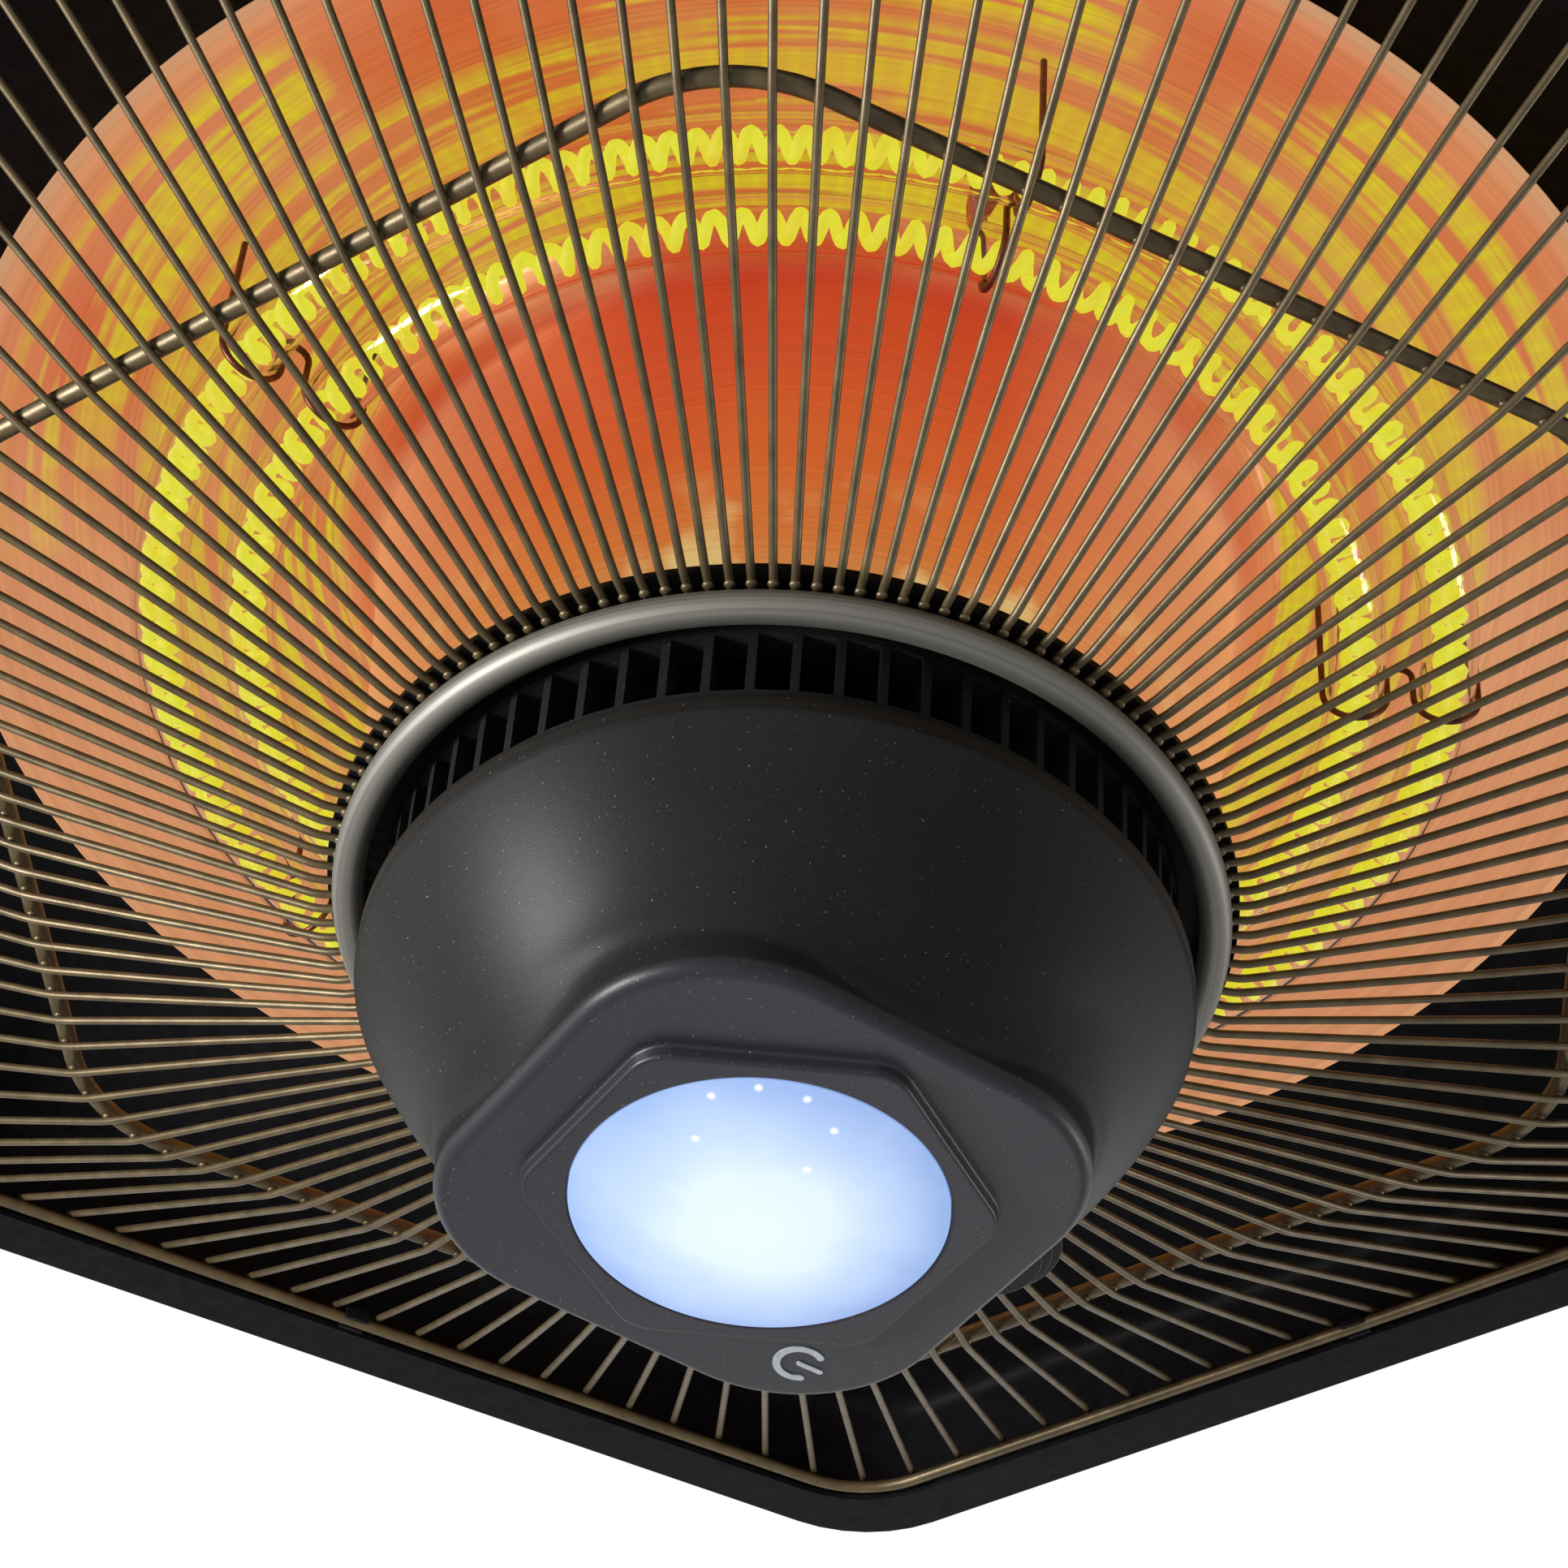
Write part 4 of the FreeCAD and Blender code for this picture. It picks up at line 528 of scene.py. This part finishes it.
coil_rule, given = rule_tree("ring coil", [
    ("ring", "Float"), ("coil", "Float"), ("wire", "Float"), ("level", "Float"), ("start", "Float"),
    ("sweep", "Float"), ("turns", "Int"), ("material", "Material")])
thread = coil_rule.nodes.new("GeometryNodeCurvePrimitiveLine")
fine = coil_rule.nodes.new("GeometryNodeResampleCurve")
coil_rule.links.new(thread.outputs["Curve"], fine.inputs["Curve"])
POINTS_A_TURN = 14.0
coil_rule.links.new(calc(coil_rule, "MULTIPLY", given["turns"], POINTS_A_TURN), fine.inputs["Count"])
travel = coil_rule.nodes.new("GeometryNodeSplineParameter").outputs["Factor"]
round_axis = calc(coil_rule, "ADD", given["start"], calc(coil_rule, "MULTIPLY", given["sweep"], travel))
twist = calc(coil_rule, "MULTIPLY", calc(coil_rule, "MULTIPLY", given["turns"], 2 * math.pi), travel)
swing = calc(coil_rule, "MULTIPLY", given["coil"], calc(coil_rule, "COSINE", twist))
reach = calc(coil_rule, "ADD", given["ring"], swing)
spot = coil_rule.nodes.new("ShaderNodeCombineXYZ")
across = calc(coil_rule, "COSINE", round_axis)
along = calc(coil_rule, "SINE", round_axis)
coil_rule.links.new(calc(coil_rule, "MULTIPLY", reach, across), spot.inputs["X"])
coil_rule.links.new(calc(coil_rule, "MULTIPLY", reach, along), spot.inputs["Y"])
rise = calc(coil_rule, "MULTIPLY", given["coil"], calc(coil_rule, "SINE", twist))
coil_rule.links.new(calc(coil_rule, "ADD", given["level"], rise), spot.inputs["Z"])
bend = coil_rule.nodes.new("GeometryNodeSetPosition")
coil_rule.links.new(fine.outputs["Curve"], bend.inputs["Geometry"])
coil_rule.links.new(spot.outputs["Vector"], bend.inputs["Position"])
section = coil_rule.nodes.new("GeometryNodeCurvePrimitiveCircle")
section.inputs["Resolution"].default_value = 7
coil_rule.links.new(given["wire"], section.inputs["Radius"])
strand = coil_rule.nodes.new("GeometryNodeCurveToMesh")
strand.inputs["Fill Caps"].default_value = True
coil_rule.links.new(bend.outputs["Geometry"], strand.inputs["Curve"])
coil_rule.links.new(section.outputs["Curve"], strand.inputs["Profile Curve"])
rule_end(coil_rule, strand.outputs["Mesh"], given["material"])

COIL_RADIUS = 2.5
COIL_WIRE = 1.35
COIL_SAG = 0.9
COIL_LEAD = 6.0
INNER_TURNS = 124
for name, ring, turns, node in (
    ("outer_glowing_coil", OUTER_RING, OUTER_TURNS, "outer_filament"),
    ("inner_glowing_coil", INNER_RING, INNER_TURNS, "inner_filament"),
):
    lead = COIL_LEAD / ring
    coil = grown(name, coil_rule, {
        "ring": ring * MM, "coil": COIL_RADIUS * MM, "wire": COIL_WIRE * MM,
        "level": height(TUBE_LEVEL - COIL_SAG),
        "start": math.radians(TUBE_TURN + TUBE_GAP / 2) + lead,
        "sweep": math.radians(360 - TUBE_GAP) - 2 * lead, "turns": turns, "material": glow})
    coil.data.shade_smooth()
    fitted(coil, "filament", node)

# Tube ends and leads: pressed white ceramic blocks, with woven glass sleeves over the leads.
# The sleeves carry the leads up to the reflector's roof.
ceramic, tree, shader = finish("white ceramic", (0.8, 0.76, 0.68), 0.35)
kiln = grain(tree, place_on(tree), 200.0)
tree.links.new(shades(tree, kiln, (0.3, (0.72, 0.67, 0.58)), (0.7, (0.84, 0.8, 0.73))),
               shader.inputs["Base Color"])
relief(tree, shader, kiln, 0.00005)
dress(ceramic, "tube_end_blocks", "terminal_block")

sleeve, tree, shader = finish("woven glass sleeve", (0.75, 0.72, 0.62), 0.8)
weave = flakes(tree, place_on(tree, (1.0, 1.0, 0.5)), 1500.0)
tree.links.new(shades(tree, weave, (0.1, (0.6, 0.56, 0.46)), (0.9, (0.82, 0.8, 0.72))),
               shader.inputs["Base Color"])
relief(tree, shader, weave, 0.0002)
dress(sleeve, "lead_sleeves")

# Tube clips: spring wire, each one bent under both tubes and hooked into the roof.
# Heat has turned the wire dark red-brown.
spring, tree, shader = finish("heat-stained spring wire", (0.1, 0.03, 0.02), 0.4, 0.8)
stain = grain(tree, place_on(tree), 300.0)
tree.links.new(shades(tree, stain, (0.3, (0.05, 0.015, 0.01)), (0.7, (0.2, 0.06, 0.03))),
               shader.inputs["Base Color"])
tree.links.new(spread(tree, stain, 0.3, 0.55), shader.inputs["Roughness"])
dress(spring, "tube_clips")

# Wire guard: steel wires welded to a thick centre ring and to two hexagonal wires across them.
# Drawn steel wire, oxidised to a dark bronze by the heat.
# Each crossing is a resistance weld, with a small squashed bead.
bronze, tree, shader = finish("bronzed guard wire", (0.12, 0.085, 0.04), 0.42, 0.55)
oxide = grain(tree, place_on(tree), 160.0)
tree.links.new(shades(tree, oxide, (0.25, (0.06, 0.042, 0.019)), (0.75, (0.13, 0.095, 0.046))),
               shader.inputs["Base Color"])
tree.links.new(spread(tree, grain(tree, place_on(tree), 500.0), 0.32, 0.55), shader.inputs["Roughness"])
relief(tree, shader, grain(tree, place_on(tree), 1800.0), 0.00003)
dress(bronze, "grille_wires", "grille_lane_wires", "grille_support_wire", "grille_rim_wire")


def polygon_reach(angle, sides, apothem, corner, turn):
    step = 2 * math.pi / sides
    offset = abs((angle - turn + step / 2) % step - step / 2)
    centre = (apothem - corner) / math.cos(step / 2)
    if offset <= math.atan2(centre * math.sin(step / 2), apothem):
        return apothem / math.cos(offset)
    across = centre * math.sin(step / 2 - offset)
    return centre * math.cos(step / 2 - offset) + math.sqrt(corner * corner - across * across)


bead_rule, given = rule_tree("weld beads", [
    ("Geometry", "Geometry"), ("size", "Float"), ("flatness", "Vector"), ("material", "Material")])
bead = bead_rule.nodes.new("GeometryNodeMeshUVSphere")
bead.inputs["Segments"].default_value = 8
bead.inputs["Rings"].default_value = 5
bead_rule.links.new(given["size"], bead.inputs["Radius"])
welds = bead_rule.nodes.new("GeometryNodeInstanceOnPoints")
bead_rule.links.new(given["Geometry"], welds.inputs["Points"])
bead_rule.links.new(bead.outputs["Mesh"], welds.inputs["Instance"])
bead_rule.links.new(given["flatness"], welds.inputs["Scale"])
rule_end(bead_rule, welds.outputs["Instances"], given["material"])
WIRES = 138
RING_WELD = 89.2
RING_WELD_LEVEL = 75.4
SUPPORT_FLAT = 162.7
SUPPORT_CORNER = 36.0
SUPPORT_LEVEL = 102.0
BEAD_RADIUS = 1.2
spots = []
for k in range(WIRES):
    angle = 2 * math.pi * (k + 0.5) / WIRES
    support = polygon_reach(angle, 6, SUPPORT_FLAT, SUPPORT_CORNER, 0.0)
    for reach, level in ((RING_WELD, RING_WELD_LEVEL), (support, SUPPORT_LEVEL)):
        spots.append((reach * MM * math.cos(angle), reach * MM * math.sin(angle), height(level)))
beads = grown("weld_beads", bead_rule,
              {"size": BEAD_RADIUS * MM, "flatness": (1.0, 1.0, 0.6), "material": bronze}, spots)
beads.data.shade_smooth()
fitted(beads, "bronze_wire")

gunmetal, tree, shader = finish("satin gunmetal ring", (0.15, 0.145, 0.125), 0.5, 0.65)
radius, level = from_axis(tree)
lines = grain(tree, joined(tree, radius, level, 0.0), 2500.0, 3.0)
tree.links.new(shades(tree, lines, (0.3, (0.12, 0.115, 0.10)), (0.7, (0.2, 0.19, 0.165))),
               shader.inputs["Base Color"])
tree.links.new(spread(tree, lines, 0.44, 0.6), shader.inputs["Roughness"])
dress(gunmetal, "grille_centre_ring")

# Hub plate: a black-painted steel disc on top of the guard's ring.
# Screws hold it to the vent ring, and the centre tube's nut clamps it.
dress(black_paint, "hub_plate")

# Lamp and control unit: a bowl that runs down into a rounded square block, moulded in one piece.
# The block's face has a raised hexagonal panel round the lens; screws hold it all to the vent ring.
# Charcoal thermoplastic with a fine spark-eroded texture, glossier on the face.
charcoal, tree, shader = finish("charcoal moulding", (0.008, 0.008, 0.0085), 0.4)
radius, level = from_axis(tree)
face = calc(tree, "SUBTRACT", 1.0, share(tree, level, height(3.2), height(6.0)))
tree.links.new(spread(tree, face, 0.1, 0.32), shader.inputs["Specular IOR Level"])
spark = grain(tree, place_on(tree), 2400.0, 3.0, 0.6)
mottle = grain(tree, place_on(tree), 40.0)
skin = blended(tree, 0.5,
               shades(tree, spark, (0.3, (0.007, 0.007, 0.007)), (0.75, (0.018, 0.018, 0.018))),
               shades(tree, mottle, (0.3, (0.009, 0.009, 0.009)), (0.7, (0.014, 0.014, 0.014))))
# The face's slightly lighter, bluish base colour is painted sheen.
skin = blended(tree, face, skin, plain_colour(tree, (0.016, 0.0155, 0.021)))
specks = share(tree, grain(tree, place_on(tree), 1700.0, 1.0), 0.74, 0.79)
tree.links.new(blended(tree, specks, skin, plain_colour(tree, (0.15, 0.145, 0.135))),
               shader.inputs["Base Color"])
tree.links.new(spread(tree, spark, 0.34, 0.46), shader.inputs["Roughness"])
relief(tree, shader, spark, 0.00003)
dress(charcoal, "vent_ring")

UNIT_TURN = math.radians(37.2)
BLOCK_HALF = 54.0
BLOCK_CORNER = 32.4
BLOCK_EDGE = 3.0
PANEL_FLAT = 40.0
PANEL_CORNER = 9.0
PANEL_RISE = 2.8
BOWL_WALL = 2.4
BOWL_TOP = 53.3
BOWL_LIP = BOWL_TOP - 4.5
LIP_ROUND = 0.6
LIP_WALL = 2.75
LENS_HOLE = 36.2
BOWL_FOOT = PANEL_RISE + BLOCK_EDGE
FOOT_RADIUS = 52.3
BOWL_RADIUS = 82.4
BOWL_BULGE = 1.9
BOWL_BLEND = 9.0
BOWL_LEAN = math.atan2(BOWL_RADIUS - FOOT_RADIUS, BOWL_LIP - BOWL_FOOT)
AROUND = 264
EDGE_STEPS = 8
WALL_STEPS = 30
FACE_CREASE = 0.8


def cup_radius(level, inset):
    t = min((level - BOWL_FOOT) / (BOWL_LIP - BOWL_FOOT), 1.0)
    bow = 4 * BOWL_BULGE * t * (1 - t) - inset
    return FOOT_RADIUS + (BOWL_RADIUS - FOOT_RADIUS) * t + bow / math.cos(BOWL_LEAN)


def block_radius(angle, inset):
    return polygon_reach(angle, 4, BLOCK_HALF - inset, BLOCK_CORNER - inset, UNIT_TURN)


def merged(a, b, soft):
    overlap = max(soft - abs(a - b), 0.0) / soft
    return max(a, b) + overlap * overlap * soft / 4


def around(level, reach):
    angles = [2 * math.pi * k / AROUND for k in range(AROUND)]
    reaches = [reach(a) * MM for a in angles]
    return [Vector((r * math.cos(a), r * math.sin(a), height(level))) for r, a in zip(reaches, angles)]


def bowl_wall(inset, bottom):
    edge = BLOCK_EDGE - inset
    rings = []
    for j in range(EDGE_STEPS + 1):
        turn = math.pi / 2 * j / EDGE_STEPS
        level = bottom + edge * (1 - math.cos(turn))
        shrink = inset + edge * (1 - math.sin(turn))
        rings.append(around(level, lambda a: block_radius(a, shrink)))
    top_of_edge = bottom + edge
    for j in range(1, WALL_STEPS + 1):
        level = top_of_edge + (BOWL_LIP - top_of_edge) * j / WALL_STEPS
        cup = cup_radius(level, inset)
        blend = BOWL_BLEND * min(1.0, (level - top_of_edge) / BOWL_BLEND)
        rings.append(around(level, lambda a: merged(cup, block_radius(a, inset), blend)))
    return rings


def panel_radius(angle, inset):
    return polygon_reach(angle, 6, PANEL_FLAT - inset, PANEL_CORNER - inset, UNIT_TURN)


floor_top = PANEL_RISE + BOWL_WALL
lip_line = ((BOWL_RADIUS, BOWL_LIP + 0.3), (BOWL_RADIUS, BOWL_LIP + 0.8),
            (BOWL_RADIUS, BOWL_TOP - LIP_ROUND), (BOWL_RADIUS - LIP_ROUND, BOWL_TOP),
            (BOWL_RADIUS - LIP_WALL, BOWL_TOP))
hole_line = ((LENS_HOLE, floor_top), (LENS_HOLE, 0.25), (LENS_HOLE + 0.25, 0.0), (LENS_HOLE + 0.7, 0.0))
panel_line = ((1.1, 0.0), (0.6, 0.0), (0.18, 0.17), (0.0, 0.6), (-0.05, 2.2), (-0.2, 2.62),
              (-0.55, PANEL_RISE), (-1.1, PANEL_RISE))
bowl_rings = [around(PANEL_RISE, lambda a: block_radius(a, BLOCK_EDGE + FACE_CREASE))]
bowl_rings += bowl_wall(0.0, PANEL_RISE)
bowl_rings += [around(level, lambda a: reach) for reach, level in lip_line]
bowl_rings += bowl_wall(BOWL_WALL, floor_top)[::-1]
bowl_rings += [around(level, lambda a: reach) for reach, level in hole_line]
bowl_rings += [around(level, lambda a: panel_radius(a, inset)) for inset, level in panel_line]
bowl = skinned("moulded_bowl", bowl_rings, charcoal, 50.0)
fitted(bowl, "charcoal_plastic", "housing_bowl")

RECEIVER_TURN = math.radians(47.0)
RECEIVER_CIRCLE = 60.0 * MM
receiver_spot = Vector((RECEIVER_CIRCLE * math.cos(RECEIVER_TURN),
                        RECEIVER_CIRCLE * math.sin(RECEIVER_TURN), 0.0))
receiver_line = eased([(0.01, 23.0), (11.0, 23.0), (11.0, 25.0), (13.0, 25.0), (13.0, 27.0),
                       (15.0, 27.0), (15.0, 45.5), (0.01, 45.5)], [0.6, 0.1, 0.6, 0.1, 0.6, 0.1], 4)
receiver = turned("receiver_boss", receiver_line, charcoal, 64)
receiver.data.transform(Matrix.Translation(receiver_spot))
fitted(receiver, "charcoal_plastic")

# Power symbol: an open ring and a bar, inlaid in the block's face as a touch key.
# Pale grey translucent plastic, standing a hair proud of the face.
inlay, tree, shader = finish("pale inlay", (0.28, 0.31, 0.34), 0.35)
cloud = grain(tree, place_on(tree), 700.0)
tree.links.new(shades(tree, cloud, (0.3, (0.24, 0.27, 0.3)), (0.7, (0.32, 0.35, 0.38))),
               shader.inputs["Base Color"])
dress(inlay, "power_symbol")

# Lens: a shallow frosted dome, lit blue-white from behind.
# Moulded polycarbonate with a collar through the panel.
# The light-emitting chips show through as a brighter middle; a few painted highlights sit near the rim.
LENS_RADIUS = 36.0
LENS_SAG = 5.0
PHOTO_TURN = math.radians(6.74)
# Small white spots near the rim are painted highlights.
PAINTED_GLINTS = ((-0.05, 0.95), (-0.285, 0.87), (0.2, 0.9), (0.35, 0.71), (-0.35, 0.59), (0.23, 0.45))
frosted, tree, shader = finish("lit frosted lens", (0.12, 0.15, 0.2), 0.3)
radius, level = from_axis(tree)
haze = grain(tree, place_on(tree), 60.0, 2.0)
reach = calc(tree, "ADD", calc(tree, "DIVIDE", radius, LENS_RADIUS * MM),
             spread(tree, haze, -0.14, 0.14))
lit = shades(tree, reach, (0.0, (0.78, 0.88, 0.98)), (0.4, (0.72, 0.84, 0.97)),
             (0.6, (0.52, 0.66, 0.92)), (0.82, (0.39, 0.53, 0.85)), (1.0, (0.25, 0.39, 0.75)))
painted_glint = None
for aside, near in PAINTED_GLINTS:
    gap = tree.nodes.new("ShaderNodeVectorMath")
    gap.operation = "DISTANCE"
    tree.links.new(place_on(tree), gap.inputs[0])
    x = aside * math.cos(PHOTO_TURN) + near * math.sin(PHOTO_TURN)
    y = aside * math.sin(PHOTO_TURN) - near * math.cos(PHOTO_TURN)
    sag = LENS_SAG * (1.0 - x * x - y * y)
    gap.inputs[1].default_value = (LENS_RADIUS * MM * x, LENS_RADIUS * MM * y, height(-sag))
    spot = calc(tree, "SUBTRACT", 1.0, share(tree, gap.outputs["Value"], 0.35 * MM, 1.0 * MM))
    painted_glint = spot if painted_glint is None else calc(tree, "MAXIMUM", painted_glint, spot)
tree.links.new(blended(tree, painted_glint, lit, plain_colour(tree, (1.0, 1.0, 0.95))),
               shader.inputs["Emission Color"])
shader.inputs["Emission Strength"].default_value = 0.9
shader.inputs["Specular IOR Level"].default_value = 0.2
dress(frosted, "lens")

# Parts inside the unit: boards, chips, seal and the lead from the terminals.
# Fibreglass boards with green resist, silicone seal and silicone-covered lead.
resist, tree, shader = finish("green solder resist", (0.03, 0.16, 0.06), 0.35)
tracks = flakes(tree, place_on(tree), 300.0)
tree.links.new(shades(tree, tracks, (0.3, (0.02, 0.12, 0.04)), (0.8, (0.05, 0.22, 0.09))),
               shader.inputs["Base Color"])
dress(resist, "led_board", "control_board", "touch_sensor")

phosphor, tree, shader = finish("phosphor chip", (0.8, 0.75, 0.4), 0.4)
dots = grain(tree, place_on(tree), 900.0)
tree.links.new(shades(tree, dots, (0.3, (0.75, 0.68, 0.3)), (0.7, (0.88, 0.85, 0.6))),
               shader.inputs["Base Color"])
dress(phosphor, "leds")

rubber, tree, shader = finish("silicone seal", (0.03, 0.03, 0.03), 0.7)
relief(tree, shader, grain(tree, place_on(tree), 900.0), 0.00005)
dress(rubber, "lens_gasket")

lead_skin, tree, shader = finish("red-brown silicone lead", (0.2, 0.025, 0.018), 0.55)
bloom = grain(tree, place_on(tree), 150.0)
tree.links.new(shades(tree, bloom, (0.3, (0.15, 0.018, 0.012)), (0.7, (0.25, 0.035, 0.025))),
               shader.inputs["Base Color"])
dress(lead_skin, "wiring_harness")

# Studio: a pale floor far below the heater, soft lamps and a white surround.
# The camera stands below the heater and looks up into it.
floor_paint, tree, shader = finish("pale floor", (0.8, 0.8, 0.8), 0.8)
dust = grain(tree, place_on(tree), 3.0)
tree.links.new(shades(tree, dust, (0.3, (0.78, 0.78, 0.78)), (0.7, (0.82, 0.82, 0.82))),
               shader.inputs["Base Color"])
floor_mesh = bpy.data.meshes.new("studio_floor")
FLOOR_HALF = 12.0
FLOOR_LEVEL = -2.4
floor_mesh.from_pydata([(-FLOOR_HALF, -FLOOR_HALF, FLOOR_LEVEL), (FLOOR_HALF, -FLOOR_HALF, FLOOR_LEVEL),
                        (FLOOR_HALF, FLOOR_HALF, FLOOR_LEVEL), (-FLOOR_HALF, FLOOR_HALF, FLOOR_LEVEL)],
                       [], [(0, 1, 2, 3)])
floor_mesh.materials.append(floor_paint)
floor = bpy.data.objects.new("studio_floor", floor_mesh)
bpy.context.scene.collection.objects.link(floor)

AMBIENT = 0.08
world = bpy.data.worlds.new("white surround")
bpy.context.scene.world = world
world.use_nodes = True
tree = world.node_tree
surround = tree.nodes["Background"]
surround.inputs["Color"].default_value = (1.0, 1.0, 1.0, 1.0)
path = tree.nodes.new("ShaderNodeLightPath")
seen = calc(tree, "ADD", path.outputs["Is Camera Ray"], path.outputs["Is Glossy Ray"])
seen = calc(tree, "ADD", seen, path.outputs["Is Transmission Ray"])
tree.links.new(spread(tree, seen, AMBIENT, 1.0), surround.inputs["Strength"])


def soft_lamp(name, where, aim, size, power):
    lamp = bpy.data.lights.new(name, "AREA")
    lamp.size = size
    lamp.energy = power
    holder = bpy.data.objects.new(name, lamp)
    holder.location = where
    holder.rotation_euler = (Vector(aim) - Vector(where)).to_track_quat("-Z", "Y").to_euler()
    bpy.context.scene.collection.objects.link(holder)


middle = (0.0, 0.0, height(60.0))
soft_lamp("left_lamp", (-1.05, -0.5, -0.66), middle, 0.35, 29.0)
soft_lamp("right_lamp", (1.2, 0.55, -0.6), middle, 0.3, 5.0)
soft_lamp("far_lamp", (0.05, 1.35, -1.3), middle, 0.8, 2.5)
soft_lamp("top_lamp", (-0.6, -0.8, 1.4), middle, 1.2, 8.0)
overhead = bpy.data.lights.new("overhead_light", "SUN")
overhead.energy = 1.5
overhead.angle = math.radians(30.0)
bpy.context.scene.collection.objects.link(bpy.data.objects.new("overhead_light", overhead))

# The camera's place, worked out from the lens rim's ellipse, the casing's edges and the guard.
UNIT = LENS_RADIUS * MM
SENSOR = 36.0
CAMERA_PITCH = 0.794936405
CAMERA_ROLL = 0.0787609107
CAMERA_DISTANCE = 21.7960359 * UNIT
CAMERA_ASIDE = -0.0424298 * UNIT
CAMERA_ABOVE = 2.2063706 * UNIT
FOCAL_SHARE = 5159.578 / 1932.0
look = Vector((0.0, math.cos(CAMERA_PITCH), math.sin(CAMERA_PITCH)))
upward = Vector((0.0, -math.sin(CAMERA_PITCH), math.cos(CAMERA_PITCH)))
aside = Vector((1.0, 0.0, 0.0))
eye = look * -CAMERA_DISTANCE + aside * CAMERA_ASIDE + upward * CAMERA_ABOVE
right = aside * math.cos(CAMERA_ROLL) + upward * math.sin(CAMERA_ROLL)
up = upward * math.cos(CAMERA_ROLL) - aside * math.sin(CAMERA_ROLL)
turn = Matrix.Rotation(PHOTO_TURN, 3, "Z")
view = Matrix((turn @ right, turn @ up, turn @ -look)).transposed()
camera_data = bpy.data.cameras.new("photo_camera")
camera_data.sensor_width = SENSOR
camera_data.lens = SENSOR * FOCAL_SHARE
camera = bpy.data.objects.new("photo_camera", camera_data)
camera.matrix_world = Matrix.Translation(turn @ eye + Vector((0.0, 0.0, lens_plane))) @ view.to_4x4()
bpy.context.scene.collection.objects.link(camera)
bpy.context.scene.camera = camera
bpy.context.scene.view_settings.view_transform = "Standard"
